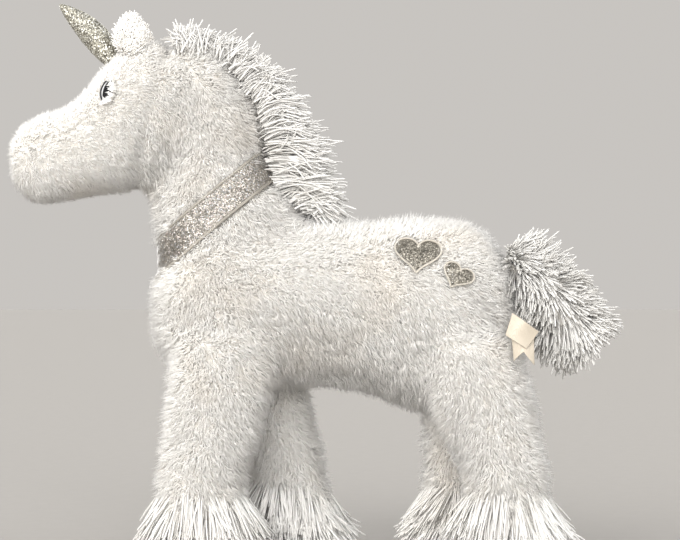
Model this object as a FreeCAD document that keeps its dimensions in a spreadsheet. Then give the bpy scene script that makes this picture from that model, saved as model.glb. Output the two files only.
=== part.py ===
import FreeCAD, Part
import Sketcher
import math
import os

# A standing plush unicorn, facing -Y, its left flank towards +X, the ground at Z = 0.
# Its covers are shells of pile fabric round stuffing cores. Each soft form is a loft through
# oval sections whose long axis lies in the plane of symmetry (the YZ plane).

doc = FreeCAD.newDocument("plush_unicorn")
sheet = doc.addObject("Spreadsheet::Sheet", "sizes")

SIZES = {
    "pile_fabric": 3.0,
    "sewing_gap": 0.2,
    "joint_gap": 0.8,
    "layer_gap": 0.3,
    # hips and shoulders: the swing axes of the four legs, and how far each leg leans at rest
    "hip_height": 160,
    "hip_radius": 38,
    "leg_side": 38,
    "leg_inner_wall": 6.2,
    "leg_below": 134,
    "front_left_hip": -66,
    "front_left_lean": -0.20,
    "front_right_hip": -46,
    "front_right_lean": 0.30,
    "hind_left_hip": 134,
    "hind_left_lean": 0.25,
    "hind_right_hip": 134,
    "hind_right_lean": -0.10,
    "sole_thickness": 3.0,
    # the nod axis of the head, and the rounded back of the cheeks
    "nod_along": -160,
    "nod_height": 376,
    "nod_radius": 56,
    # panels
    "belly_panel_half": 24,
    "belly_panel_top": 188,
    "belly_panel_front": -108,
    "belly_panel_back": 148,
    "brow_panel_half": 13,
    "brow_panel_bottom": 352,
    # neck ribbon, seen from the side as a band that slopes down to the chest
    "ribbon_width": 25,
    "ribbon_thickness": 1.2,
    "ribbon_along": -80,
    "ribbon_height": 296,
    "ribbon_slope": 37.6,
    # mane: two arcs, tips and roots, joined by short ends
    "mane_thickness": 22,
    "mane_top_tip_along": -100,
    "mane_top_tip_height": 453,
    "mane_low_tip_along": 24,
    "mane_low_tip_height": 316,
    "mane_low_root_along": 22,
    "mane_low_root_height": 284,
    "mane_top_root_along": -99,
    "mane_top_root_height": 420,
    "mane_tip_radius": 150,
    "mane_root_radius": 300,
    # hearts on the left rump
    "heart_large_along": 86,
    "heart_large_height": 262,
    "heart_large_lobe": 10.5,
    "heart_large_spread": 8.5,
    "heart_large_point": 17,
    "heart_large_turn": 8,
    "heart_small_along": 118,
    "heart_small_height": 245,
    "heart_small_lobe": 7.0,
    "heart_small_spread": 5.6,
    "heart_small_point": 12,
    "heart_small_turn": 28,
    "heart_thickness": 0.8,
    "heart_border": 1.8,
    "heart_border_thickness": 1.3,
    # embroidered eyes
    "eye_along": -161,
    "eye_height": 389,
    "eye_half_height": 11,
    "eye_side_radius": 13.1,
    "eye_turn": 12,
    "eye_thickness": 1.0,
    # horn: a spindle on a round root, leaning forward from the brow
    "horn_along": -162.5,
    "horn_height": 426.5,
    "horn_lean": 48,
    "horn_root": 9,
    "horn_length": 53,
    "horn_side_radius": 110,
    "horn_tip": 1.6,
    "horn_fabric": 0.8,
    # ears: flat leaves that stand on the poll
    "ear_side": 20,
    "ear_along": -141,
    "ear_height": 424.5,
    "ear_lean": 12,
    "ear_length": 27,
    "ear_foot": 5,
    "ear_leaf_radius": 18,
    "ear_thickness": 3.0,
    "ear_lining_thickness": 1.6,
    "ear_lining_inset": 2.5,
    # label beside the tail
    "label_side": 68,
    "label_along": 174,
    "label_height": 208,
    "label_turn": -25,
    "label_width": 25,
    "label_length": 24,
    "label_tail": 12,
    "label_notch": 9,
    "label_ply": 0.8,
}

# Sections of each form: name, Y and Z of the centre, half depth in the plane of symmetry, half
# width across, and the angle of the section's normal above +Y.
TRUNK = [
    ("breast", -125, 217, 15, 14, 0),
    ("chest", -119, 217, 34, 32, 0),
    ("shoulder", -103, 217, 53, 50, 0),
    ("withers", -75, 220, 66, 60, 0),
    ("back", -15, 221, 66, 62, 0),
    ("loin", 40, 218, 66, 61, 0),
    ("croup", 95, 213, 74, 62, 0),
    ("haunch", 135, 210, 70, 57, 0),
    ("rump", 156, 207, 48, 42, 0),
    ("dock", 162, 206, 28, 24, 0),
]
NECK = [
    ("base", -56, 228, 60, 50, 90),
    ("root", -62, 262, 61, 44, 90),
    ("middle", -70, 300, 55, 38, 90),
    ("throat", -77, 335, 44, 34, 90),
    ("crest", -80, 370, 40, 31, 90),
    ("nape", -84, 400, 31, 28, 90),
    ("poll", -90, 420, 20, 18, 90),
    ("top", -92, 428, 9, 8, 90),
]
HEAD = [
    ("lips", -243, 340, 13, 12, 0),
    ("nose", -237, 340, 21, 19, 0),
    ("nostril", -222, 341, 31, 26, 0),
    ("bridge", -200, 346, 35, 29, 0),
    ("brow", -176, 356, 43, 33, 0),
    ("cheek", -152, 370, 53, 37, 0),
    ("jowl", -128, 378, 52, 35, 0),
    ("nape", -100, 382, 44, 28, 0),
]
TAIL = [
    ("root", 164.5, 251, 12, 11, -10),
    ("dock", 173, 246, 17, 16, -25),
    ("upper", 186, 235, 28, 24, -35),
    ("middle", 203, 213, 35, 29, -42),
    ("lower", 222, 200, 26, 24, -35),
    ("end", 236, 194, 14, 13, -20),
    ("tip", 242, 192, 5, 4, -20),
]
TAIL_CORE = [
    ("root", 164.5, 251, 8, 7, -10),
    ("upper", 186, 236, 12, 11, -40),
    ("middle", 205, 215, 14, 13, -42),
    ("lower", 222, 201, 11, 10, -35),
    ("tip", 231, 196, 5, 4, -25),
]
# A leg is the same in all four places: height, half depth, half width. Its lean is added.
LEG = [
    ("top", 201, 38, 29),
    ("hip", 165, 40, 31),
    ("thigh", 140, 38, 31),
    ("knee", 116, 34, 29),
    ("shin", 90, 30, 27),
    ("pastern", 62, 28, 26),
    ("foot", 28, 29, 27),
    ("sole", 3, 29, 27),
]
# The long-pile cuff round each foot: height, half depth, half width.
CUFF = [
    ("top", 74, 32, 29),
    ("flare", 52, 39, 33),
    ("middle", 30, 43, 36),
    ("hem", 6, 43, 36),
]
LEGS = ["front_left", "front_right", "hind_left", "hind_right"]
REACH = 400  # longer than the toy is in any direction, for cutting boxes
TIP_INSETS = 3  # a fabric wall is this many thicknesses deep where a spindle comes to its tip
SIDE_ANGLE = 40  # degrees below the lobe's centre where a heart's straight side leaves the lobe
POINT_GROWTH = 1.6  # a heart's point moves out by this much for each unit that its sides do
PIECES = {}


def fill_sheet():
    """Writes every size to the sheet, one row each, with its name as the alias."""
    rows = dict(SIZES)
    for form, stations in (("trunk", TRUNK), ("neck", NECK), ("head", HEAD),
                           ("tail", TAIL), ("tail_core", TAIL_CORE)):
        for name, along, height, deep, wide, tilt in stations:
            rows[f"{form}_{name}_along"] = along
            rows[f"{form}_{name}_height"] = height
            rows[f"{form}_{name}_deep"] = deep
            rows[f"{form}_{name}_wide"] = wide
            rows[f"{form}_{name}_tilt"] = tilt
    for form, stations in (("leg", LEG), ("cuff", CUFF)):
        for name, height, deep, wide in stations:
            rows[f"{form}_{name}_height"] = height
            rows[f"{form}_{name}_deep"] = deep
            rows[f"{form}_{name}_wide"] = wide
    for row, (name, value) in enumerate(rows.items(), start=1):
        sheet.set(f"A{row}", name)
        sheet.set(f"B{row}", str(value))
        sheet.setAlias(f"B{row}", name)
    doc.recompute()


def bound(name):
    """The expression that reads a size from the sheet."""
    return f"<<sizes>>.{name}"


def bind(item, **expressions):
    """Binds properties to expressions; a double underscore stands for a dot."""
    for path, text in expressions.items():
        item.setExpression(path.replace("__", "."), text)
    return item


def place(item, side="0", along="0", height="0", axis=(1, 0, 0), angle="0"):
    """Binds an object's place and its turn about one axis."""
    item.Placement = FreeCAD.Placement(FreeCAD.Vector(0, 0, 0), FreeCAD.Rotation(FreeCAD.Vector(*axis), 1))
    return bind(
        item,
        Placement__Base__x=side,
        Placement__Base__y=along,
        Placement__Base__z=height,
        Placement__Rotation__Angle=angle,
    )


def combine(kind, name, base, tool):
    """A Part boolean of two objects: Cut, Common or Fuse."""
    item = doc.addObject(f"Part::{kind}", name)
    item.Base = base
    item.Tool = tool
    item.Refine = False
    return item


def join(name, items):
    """One solid from several overlapping ones."""
    item = doc.addObject("Part::MultiFuse", name)
    item.Shapes = items
    item.Refine = False
    return item


def oval(name, deep, wide, side, along, height, tilt):
    """An oval section: its long axis in the plane of symmetry, its normal tilted above +Y."""
    item = doc.addObject("Part::Ellipse", name)
    bind(item, MajorRadius=deep, MinorRadius=wide)
    upright = "create(<<rotation>>; create(<<vector>>; 1; 1; 1); 240)"
    turned = f"create(<<rotation>>; create(<<vector>>; 1; 0; 0); {tilt})"
    at = f"create(<<vector>>; {side}; {along}; {height})"
    item.setExpression("Placement", f"create(<<placement>>; {at}; {turned} * {upright})")
    return item


def loft(name, sections):
    """A solid through a row of sections, straight from each one to the next."""
    item = doc.addObject("Part::Loft", name)
    item.Sections = sections
    item.Solid = True
    item.Ruled = True
    return item


def form(name, kind, stations, grow="0 mm"):
    """The loft of one of the forms in the sheet, grown or shrunk all round."""
    ovals = []
    for station in stations:
        key = f"{kind}_{station[0]}"
        ovals.append(oval(
            f"{name}_{station[0]}",
            f"({bound(key + '_deep')}) * 1 mm + {grow}",
            f"({bound(key + '_wide')}) * 1 mm + {grow}",
            "0",
            bound(key + "_along"),
            bound(key + "_height"),
            bound(key + "_tilt"),
        ))
    return loft(name, ovals)


def leg_form(name, kind, stations, leg, grow="0 mm"):
    """The loft of a leg or a cuff, at its own side of the body and with its own lean."""
    side = bound("leg_side") if "left" in leg else f"-{bound('leg_side')}"
    ovals = []
    for station in stations:
        key = f"{kind}_{station[0]}"
        lean = f"{bound(leg + '_lean')} * ({bound('hip_height')} - {bound(key + '_height')})"
        ovals.append(oval(
            f"{name}_{station[0]}",
            f"({bound(key + '_deep')}) * 1 mm + {grow}",
            f"({bound(key + '_wide')}) * 1 mm + {grow}",
            side,
            f"{bound(leg + '_hip')} + {lean}",
            bound(key + "_height"),
            "90",
        ))
    return loft(name, ovals)


def box(name, low, high):
    """A box between two corners, each given as three expressions."""
    item = doc.addObject("Part::Box", name)
    bind(
        item,
        Length=f"({high[0]} - ({low[0]})) * 1 mm",
        Width=f"({high[1]} - ({low[1]})) * 1 mm",
        Height=f"({high[2]} - ({low[2]})) * 1 mm",
    )
    return place(item, low[0], low[1], low[2])


def barrel(name, radius, start, length, along, height):
    """A cylinder that lies across the body, from one side position outwards to +X or -X."""
    item = doc.addObject("Part::Cylinder", name)
    bind(item, Radius=f"({radius}) * 1 mm", Height=f"({length}) * 1 mm")
    return place(item, start, along, height, (0, 1, 0), "90")


def finish(item, label):
    """Marks an object as a sub-part: its label names its file."""
    item.Label = label
    PIECES[label] = item
    return item


def body_with_sketch(name, plane):
    """A body and a sketch on one of its own origin planes."""
    body = doc.addObject("PartDesign::Body", name)
    sketch = body.newObject("Sketcher::SketchObject", f"{name}_outline")
    support = next(f for f in body.Origin.OriginFeatures if f.Role == plane)
    sketch.AttachmentSupport = [(support, "")]
    sketch.MapMode = "FlatFace"
    return body, sketch


def pin(sketch, shape, point, across, up):
    """Fixes a point of a sketch at two distances from its origin, each an expression."""
    for kind, text in (("DistanceX", across), ("DistanceY", up)):
        index = sketch.addConstraint(Sketcher.Constraint(kind, -1, 1, shape, point, evaluated(text)))
        sketch.setExpression(f"Constraints[{index}]", f"({text}) * 1 mm")


def radius(sketch, shape, text):
    """Sets the radius of an arc to an expression."""
    index = sketch.addConstraint(Sketcher.Constraint("Radius", shape, evaluated(text)))
    sketch.setExpression(f"Constraints[{index}]", f"({text}) * 1 mm")


def evaluated(text):
    """The number that an expression of sheet sizes stands for."""
    return float(sheet.evalExpression(str(text)))


def pad(body, sketch, name, length, midplane=False):
    """Extrudes a sketch."""
    item = body.newObject("PartDesign::Pad", name)
    item.Profile = sketch
    item.setExpression("Length", f"({length}) * 1 mm")
    item.Midplane = midplane
    sketch.Visibility = False
    return item


def slab(name, low, high):
    """A block across the whole width of the toy between two Y and two Z expressions."""
    return box(name, (f"-{REACH}", low[0], low[1]), (f"{REACH}", high[0], high[1]))


def half_space(name, hand):
    """Everything on one side of the middle seam, short of it by the sewing gap."""
    seam = bound("sewing_gap")
    low, high = (seam, f"{REACH}") if hand == "left" else (f"-{REACH}", f"-{seam}")
    return box(f"{name}_side", (low, f"-{REACH}", "0"), (high, f"{REACH}", f"2 * {REACH}"))


def leg_barrel(leg, name, size, wall):
    """The round space about a leg's swing axis, from beside the belly outwards."""
    start = wall if "left" in leg else f"-({wall}) - {REACH}"
    return barrel(name, size, start, f"{REACH}", bound(f"{leg}_hip"), bound("hip_height"))


def hip_pockets():
    """The four openings in the trunk that the tops of the legs turn in."""
    size = f"{bound('hip_radius')} + {bound('joint_gap')}"
    return [leg_barrel(leg, f"{leg}_pocket", size, bound("leg_inner_wall")) for leg in LEGS]


def head_pocket():
    """The hollow in the front of the neck that the back of the head turns in."""
    size = f"{bound('nod_radius')} + {bound('joint_gap')}"
    return barrel("head_pocket", size, f"-{REACH} / 2", f"{REACH}",
                  bound("nod_along"), bound("nod_height"))


def trunk():
    """Body and neck: two side panels, a belly panel and the stuffing."""
    fabric = f"{bound('pile_fabric')} * 1 mm"
    core = f"({bound('pile_fabric')} + {bound('sewing_gap')}) * 1 mm"
    outer = combine("Fuse", "trunk_outer", form("trunk_skin", "trunk", TRUNK),
                    form("neck_skin", "neck", NECK))
    inner = combine("Fuse", "trunk_inner", form("trunk_lining", "trunk", TRUNK, f"-{fabric}"),
                    form("neck_lining", "neck", NECK, f"-{fabric}"))
    filling = combine("Fuse", "trunk_filling", form("trunk_core", "trunk", TRUNK, f"-{core}"),
                      form("neck_core", "neck", NECK, f"-{core}"))
    openings = join("trunk_openings", hip_pockets() + [head_pocket()])
    wall = combine("Cut", "trunk_wall", outer, inner)
    half = bound("belly_panel_half")
    belly = box("belly_zone", (f"-{half}", bound("belly_panel_front"), "0"),
                (half, bound("belly_panel_back"), bound("belly_panel_top")))
    for hand in ("left", "right"):
        zone = combine("Cut", f"body_{hand}_zone", half_space(f"body_{hand}", hand), belly)
        panel = combine("Common", f"body_{hand}", wall, zone)
        finish(combine("Cut", f"body_{hand}_cut", panel, openings), f"body_panel_{hand}")
    panel = combine("Common", "belly", wall, belly)
    finish(combine("Cut", "belly_cut", panel, openings), "belly_panel")
    finish(combine("Cut", "body_stuffing", filling, openings), "body_stuffing")
    return outer


def neck_ribbon():
    """The ribbon: a layer over the neck between two sloping planes, parted under the mane."""
    gap = f"{bound('layer_gap')} * 1 mm"
    top = f"({bound('layer_gap')} + {bound('ribbon_thickness')}) * 1 mm"
    layer = combine("Cut", "ribbon_layer", form("ribbon_outer", "neck", NECK, top),
                    form("ribbon_inner", "neck", NECK, gap))
    band = doc.addObject("Part::Box", "ribbon_band")
    bind(band, Length=f"{REACH} * 1 mm", Width=f"{REACH} * 1 mm", Height=f"{bound('ribbon_width')} * 1 mm")
    slope = f"create(<<rotation>>; create(<<vector>>; 1; 0; 0); {bound('ribbon_slope')})"
    middle = f"create(<<vector>>; 0; {bound('ribbon_along')}; {bound('ribbon_height')})"
    corner = f"create(<<vector>>; -{REACH} / 2; -{REACH} / 2; -{bound('ribbon_width')} / 2)"
    turned = f"create(<<placement>>; {middle}; {slope})"
    band.setExpression("Placement", f"{turned} * create(<<placement>>; {corner}; "
                       "create(<<rotation>>; create(<<vector>>; 1; 0; 0); 0))")
    half = f"({bound('mane_thickness')} / 2 + {bound('layer_gap')})"
    parting = box("ribbon_parting", (f"-{half}", bound("ribbon_along"), "0"),
                  (half, f"{REACH}", f"{REACH} * 2"))
    loop = combine("Common", "ribbon_loop", layer, band)
    finish(combine("Cut", "ribbon", loop, parting), "neck_ribbon")


def mane(trunk_outer):
    """The long pile along the crest: a crescent between two arcs, outside the neck."""
    body, sketch = body_with_sketch("mane_crescent", "YZ_Plane")
    corners = [
        (bound("mane_low_tip_along"), bound("mane_low_tip_height")),
        (bound("mane_top_tip_along"), bound("mane_top_tip_height")),
        (bound("mane_top_root_along"), bound("mane_top_root_height")),
        (bound("mane_low_root_along"), bound("mane_low_root_height")),
    ]
    arcs(sketch, corners, [(0, bound("mane_tip_radius"), 1), (2, bound("mane_root_radius"), 1)])
    pad(body, sketch, "mane_pile", bound("mane_thickness"), midplane=True)
    seat = form("mane_seat", "neck", NECK, f"{bound('sewing_gap')} * 1 mm")
    over_neck = combine("Cut", "mane_over_neck", body, seat)
    finish(combine("Cut", "mane_cut", over_neck, trunk_outer), "mane")


def arcs(sketch, corners, bends):
    """A closed outline through four or more corners, given as expressions.

    bends: (side, radius, hand) for each side that is an arc, hand 1 where it bulges to the
    right of its direction and -1 where it bulges to the left; the other sides are straight."""
    points = [FreeCAD.Vector(evaluated(across), evaluated(up), 0) for across, up in corners]
    count = len(points)
    curved = {side: (size, hand) for side, size, hand in bends}
    for side in range(count):
        start = points[side]
        end = points[(side + 1) % count]
        if side in curved:
            size, hand = curved[side]
            sketch.addGeometry(bulge(start, end, evaluated(size), hand), False)
        else:
            sketch.addGeometry(Part.LineSegment(start, end), False)
    for side in range(count):
        # an arc's own start is its counter-clockwise one, so a left bulge is joined by its far end
        here = 1 if side in curved and curved[side][1] < 0 else 2
        after = (side + 1) % count
        there = 2 if after in curved and curved[after][1] < 0 else 1
        sketch.addConstraint(Sketcher.Constraint("Coincident", side, here, after, there))
    for side, (across, up) in enumerate(corners):
        pin(sketch, side, 2 if side in curved and curved[side][1] < 0 else 1, across, up)
    for side, (size, hand) in curved.items():
        radius(sketch, side, size)


def bulge(start, end, size, hand):
    """The shorter arc between two points, on the right (1) or the left (-1) of the way.

    It always runs counter-clockwise, so one on the left starts at the far point."""
    chord = end - start
    rise = size - math.sqrt(max(size**2 - (chord.Length / 2) ** 2, 0))
    right = FreeCAD.Vector(chord.y, -chord.x, 0).normalize()
    crown = (start + end) * 0.5 + right * (hand * rise)
    return Part.Arc(start, crown, end) if hand > 0 else Part.Arc(end, crown, start)


def leaf(sketch, foot, length, size):
    """A pointed leaf on the sketch's vertical axis, between two equal arcs."""
    arcs(sketch, [("0", f"-({foot})"), ("0", length)], [(0, size, 1), (1, size, 1)])


def head():
    """The head: two side panels, a brow panel, stuffing, and its embroidered eyes."""
    fabric = f"{bound('pile_fabric')} * 1 mm"
    core = f"({bound('pile_fabric')} + {bound('sewing_gap')}) * 1 mm"
    front = slab("head_front_zone", (f"-{REACH}", "0"), (bound("nod_along"), f"2 * {REACH}"))
    cheeks = barrel("head_barrel", bound("nod_radius"), f"-{REACH} / 2", f"{REACH}",
                    bound("nod_along"), bound("nod_height"))
    keep = combine("Fuse", "head_zone", front, cheeks)
    outer = form("head_skin", "head", HEAD)
    inner = form("head_lining", "head", HEAD, f"-{fabric}")
    wall = combine("Cut", "head_wall", outer, inner)
    half = bound("brow_panel_half")
    brow = box("brow_zone", (f"-{half}", f"-{REACH}", bound("brow_panel_bottom")),
               (half, f"{REACH}", f"2 * {REACH}"))
    panel = combine("Common", "brow", wall, brow)
    finish(combine("Common", "brow_cut", panel, keep), "brow_panel")
    for hand in ("left", "right"):
        zone = combine("Cut", f"head_{hand}_zone", half_space(f"head_{hand}", hand), brow)
        panel = combine("Common", f"head_{hand}", wall, zone)
        finish(combine("Common", f"head_{hand}_cut", panel, keep), f"head_panel_{hand}")
    filling = combine("Common", "head_filling", form("head_core", "head", HEAD, f"-{core}"), keep)
    finish(filling, "head_stuffing")


def eyes():
    """The embroidered eyes: leaf-shaped layers on the sides of the head."""
    gap = f"{bound('layer_gap')} * 1 mm"
    top = f"({bound('layer_gap')} + {bound('eye_thickness')}) * 1 mm"
    layer = combine("Cut", "eye_layer", form("eye_outer", "head", HEAD, top),
                    form("eye_inner", "head", HEAD, gap))
    for hand, back in (("left", False), ("right", True)):
        body, sketch = body_with_sketch(f"eye_{hand}_prism", "YZ_Plane")
        leaf(sketch, bound("eye_half_height"), bound("eye_half_height"), bound("eye_side_radius"))
        pad(body, sketch, f"eye_{hand}_pad", f"{REACH}").Reversed = back
        place(body, "0", bound("eye_along"), bound("eye_height"), (1, 0, 0), bound("eye_turn"))
        finish(combine("Common", f"eye_{hand}", layer, body), f"eye_{hand}")


def spindle(name, inset):
    """A round-rooted spindle turned about its own axis, drawn in by an inset."""
    body, sketch = body_with_sketch(name, "XZ_Plane")
    root = f"{bound('horn_root')} - {inset}"
    top = f"{bound('horn_length')} - {TIP_INSETS} * {inset}"
    corners = [
        ("0", f"-({root})"),
        (root, "0"),
        (f"{bound('horn_tip')} / (1 + 2 * {inset})", top),
        ("0", top),
    ]
    arcs(sketch, corners, [(0, root, 1), (1, bound("horn_side_radius"), 1)])
    turned = body.newObject("PartDesign::Revolution", f"{name}_turned")
    turned.Profile = sketch
    turned.ReferenceAxis = (sketch, ["V_Axis"])
    sketch.Visibility = False
    place(body, "0", bound("horn_along"), bound("horn_height"), (1, 0, 0), bound("horn_lean"))
    return body


def horn():
    """The horn: a sewn cover of glitter fabric round its stuffing."""
    fabric = bound("horn_fabric")
    core = f"({bound('horn_fabric')} + {bound('sewing_gap')})"
    cover = combine("Cut", "horn_shell", spindle("horn_skin", "0"), spindle("horn_lining", fabric))
    finish(cover, "horn_cover")
    finish(spindle("horn_core", core), "horn_stuffing")


def ears():
    """Two ears, each a leaf of pile fabric and a lining sewn to its outer side."""
    for hand, sign, back in (("left", "1", False), ("right", "-1", True)):
        body, sketch = body_with_sketch(f"ear_{hand}_leaf", "YZ_Plane")
        leaf(sketch, bound("ear_foot"), bound("ear_length"), bound("ear_leaf_radius"))
        pad(body, sketch, f"ear_{hand}_pad", bound("ear_thickness")).Reversed = back
        place(body, f"{sign} * {bound('ear_side')}", bound("ear_along"), bound("ear_height"),
              (1, 0, 0), bound("ear_lean"))
        finish(body, f"ear_{hand}")
        inset = bound("ear_lining_inset")
        body, sketch = body_with_sketch(f"ear_{hand}_lining_leaf", "YZ_Plane")
        leaf(sketch, f"{bound('ear_foot')} - {inset}", f"{bound('ear_length')} - {inset}",
             f"{bound('ear_leaf_radius')} - {inset} / 2")
        pad(body, sketch, f"ear_{hand}_lining_pad", bound("ear_lining_thickness")).Reversed = back
        place(body, f"{sign} * ({bound('ear_side')} + {bound('ear_thickness')})", bound("ear_along"),
              bound("ear_height"), (1, 0, 0), bound("ear_lean"))
        finish(body, f"ear_{hand}_lining")


def leg(name):
    """A leg: its cover, its stuffing with a round top, its long-pile cuff and its sole."""
    fabric = f"{bound('pile_fabric')} * 1 mm"
    core = f"({bound('pile_fabric')} + {bound('sewing_gap')}) * 1 mm"
    top = leg_barrel(name, f"{name}_barrel", bound("hip_radius"), "0")
    below = slab(f"{name}_below", (f"-{REACH}", "0"), (f"{REACH}", bound("leg_below")))
    keep = combine("Fuse", f"{name}_zone", top, below)
    outer = leg_form(f"{name}_skin", "leg", LEG, name)
    inner = leg_form(f"{name}_lining", "leg", LEG, name, f"-{fabric}")
    wall = combine("Cut", f"{name}_wall", outer, inner)
    finish(combine("Common", f"{name}_cover", wall, keep), f"{name}_leg_cover")
    filling = leg_form(f"{name}_core", "leg", LEG, name, f"-{core}")
    finish(combine("Common", f"{name}_stuffing", filling, keep), f"{name}_leg_stuffing")
    cuff = leg_form(f"{name}_cuff_skin", "cuff", CUFF, name)
    inside = leg_form(f"{name}_cuff_inside", "leg", LEG, name, f"{bound('sewing_gap')} * 1 mm")
    finish(combine("Cut", f"{name}_cuff", cuff, inside), f"{name}_cuff")
    side = bound("leg_side") if "left" in name else f"-{bound('leg_side')}"
    lean = f"{bound(name + '_lean')} * ({bound('hip_height')} - {bound('sole_thickness')})"
    edge = oval(f"{name}_sole_edge", f"{bound('leg_sole_deep')} * 1 mm", f"{bound('leg_sole_wide')} * 1 mm",
                side, f"{bound(name + '_hip')} + {lean}", "0", "90")
    sole = doc.addObject("Part::Extrusion", f"{name}_sole_disc")
    sole.Base = edge
    sole.DirMode = "Custom"
    sole.Dir = FreeCAD.Vector(0, 0, 1)
    sole.Solid = True
    bind(sole, LengthFwd=f"{bound('sole_thickness')} * 1 mm")
    finish(sole, f"{name}_sole")


def tail():
    """The tail: a shaggy cover round a stuffed core."""
    skin = form("tail_skin", "tail", TAIL)
    hollow = form("tail_hollow", "tail_core", TAIL_CORE, f"{bound('sewing_gap')} * 1 mm")
    finish(combine("Cut", "tail_shell", skin, hollow), "tail_cover")
    finish(form("tail_filling", "tail_core", TAIL_CORE), "tail_stuffing")


def label():
    """The folded satin label: a front ply, and a longer back ply cut to two points."""
    body, front = body_with_sketch("label_ribbon", "YZ_Plane")
    half = f"{bound('label_width')} / 2"
    length = bound("label_length")
    arcs(front, [(f"-{half}", f"-{length}"), (half, f"-{length}"), (half, "0"), (f"-{half}", "0")], [])
    pad(body, front, "front_ply", bound("label_ply"))
    back = body.newObject("Sketcher::SketchObject", "back_ply_outline")
    back.AttachmentSupport = front.AttachmentSupport
    back.MapMode = "FlatFace"
    long = f"({length} + {bound('label_tail')})"
    notch = f"({long} - {bound('label_notch')})"
    corners = [
        (f"-{half}", f"-{long}"),
        ("0", f"-{notch}"),
        (half, f"-{long}"),
        (half, "0"),
        (f"-{half}", "0"),
    ]
    arcs(back, corners, [])
    pad(body, back, "back_ply", bound("label_ply")).Reversed = True
    place(body, bound("label_side"), bound("label_along"), bound("label_height"),
          (1, 0, 0), bound("label_turn"))
    finish(body, "satin_label")


def heart_prism(name, heart, grow):
    """A heart drawn with two round lobes and a point, extruded outwards to the left."""
    body, sketch = body_with_sketch(name, "YZ_Plane")
    lobe = f"({bound(heart + '_lobe')} + {grow})"
    spread = bound(f"{heart}_spread")
    point = f"({bound(heart + '_point')} + {POINT_GROWTH} * {grow})"
    side = (f"{spread} + {lobe} * cos({SIDE_ANGLE})", f"-{lobe} * sin({SIDE_ANGLE})")
    corners = [
        ("0", f"-{point}"),
        side,
        (spread, lobe),
        ("0", f"sqrt({lobe}^2 - {spread}^2)"),
        (f"-{spread}", lobe),
        (f"-({side[0]})", side[1]),
    ]
    arcs(sketch, corners, [(curve, lobe, 1) for curve in (1, 2, 3, 4)])
    pad(body, sketch, f"{name}_pad", f"{REACH}")
    along = bound(f"{heart}_along")
    height = bound(f"{heart}_height")
    return place(body, "0", along, height, (1, 0, 0), bound(f"{heart}_turn"))


def hearts():
    """Two glitter hearts on the left rump, each with a stitched border."""
    gap = f"{bound('layer_gap')} * 1 mm"
    patch = f"({bound('layer_gap')} + {bound('heart_thickness')}) * 1 mm"
    thread = f"({bound('layer_gap')} + {bound('heart_border_thickness')}) * 1 mm"
    under = form("heart_under", "trunk", TRUNK, gap)
    patch_layer = combine("Cut", "patch_layer", form("heart_over", "trunk", TRUNK, patch), under)
    thread_layer = combine("Cut", "thread_layer", form("border_over", "trunk", TRUNK, thread), under)
    for heart in ("heart_large", "heart_small"):
        middle = heart_prism(f"{heart}_prism", heart, "0")
        finish(combine("Common", f"{heart}_patch", patch_layer, middle), heart)
        hole = heart_prism(f"{heart}_hole", heart, bound("sewing_gap"))
        rim = heart_prism(f"{heart}_rim", heart, bound("heart_border"))
        ring = combine("Cut", f"{heart}_ring", rim, hole)
        finish(combine("Common", f"{heart}_border_band", thread_layer, ring), f"{heart}_border")


def write_parts():
    """Checks every object and sub-part, then writes each sub-part's STEP file."""
    doc.recompute()
    for item in doc.Objects:
        if "Invalid" in item.State or "Error" in item.State:
            raise RuntimeError(f"{item.Name} did not build: {item.State}")
    for name, item in PIECES.items():
        if item.Shape.isNull() or not item.Shape.isValid() or not item.Shape.Solids:
            raise RuntimeError(f"{name} has no valid solid")
    os.makedirs("parts", exist_ok=True)
    for name, item in PIECES.items():
        item.Shape.exportStep(f"parts/{name}.step")
        size = item.Shape.BoundBox
        print(f"{name}: {len(item.Shape.Solids)} solid, {item.Shape.Volume / 1000:.1f} cm3, "
              f"X {size.XMin:.0f}..{size.XMax:.0f} Y {size.YMin:.0f}..{size.YMax:.0f} "
              f"Z {size.ZMin:.0f}..{size.ZMax:.0f}")


fill_sheet()
trunk_outer = trunk()
neck_ribbon()
mane(trunk_outer)
hearts()
head()
eyes()
horn()
ears()
for leg_name in LEGS:
    leg(leg_name)
tail()
label()
write_parts()
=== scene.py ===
"""A plush unicorn: padded body, cut pile, yarn mane and tail, glitter trims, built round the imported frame."""

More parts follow.
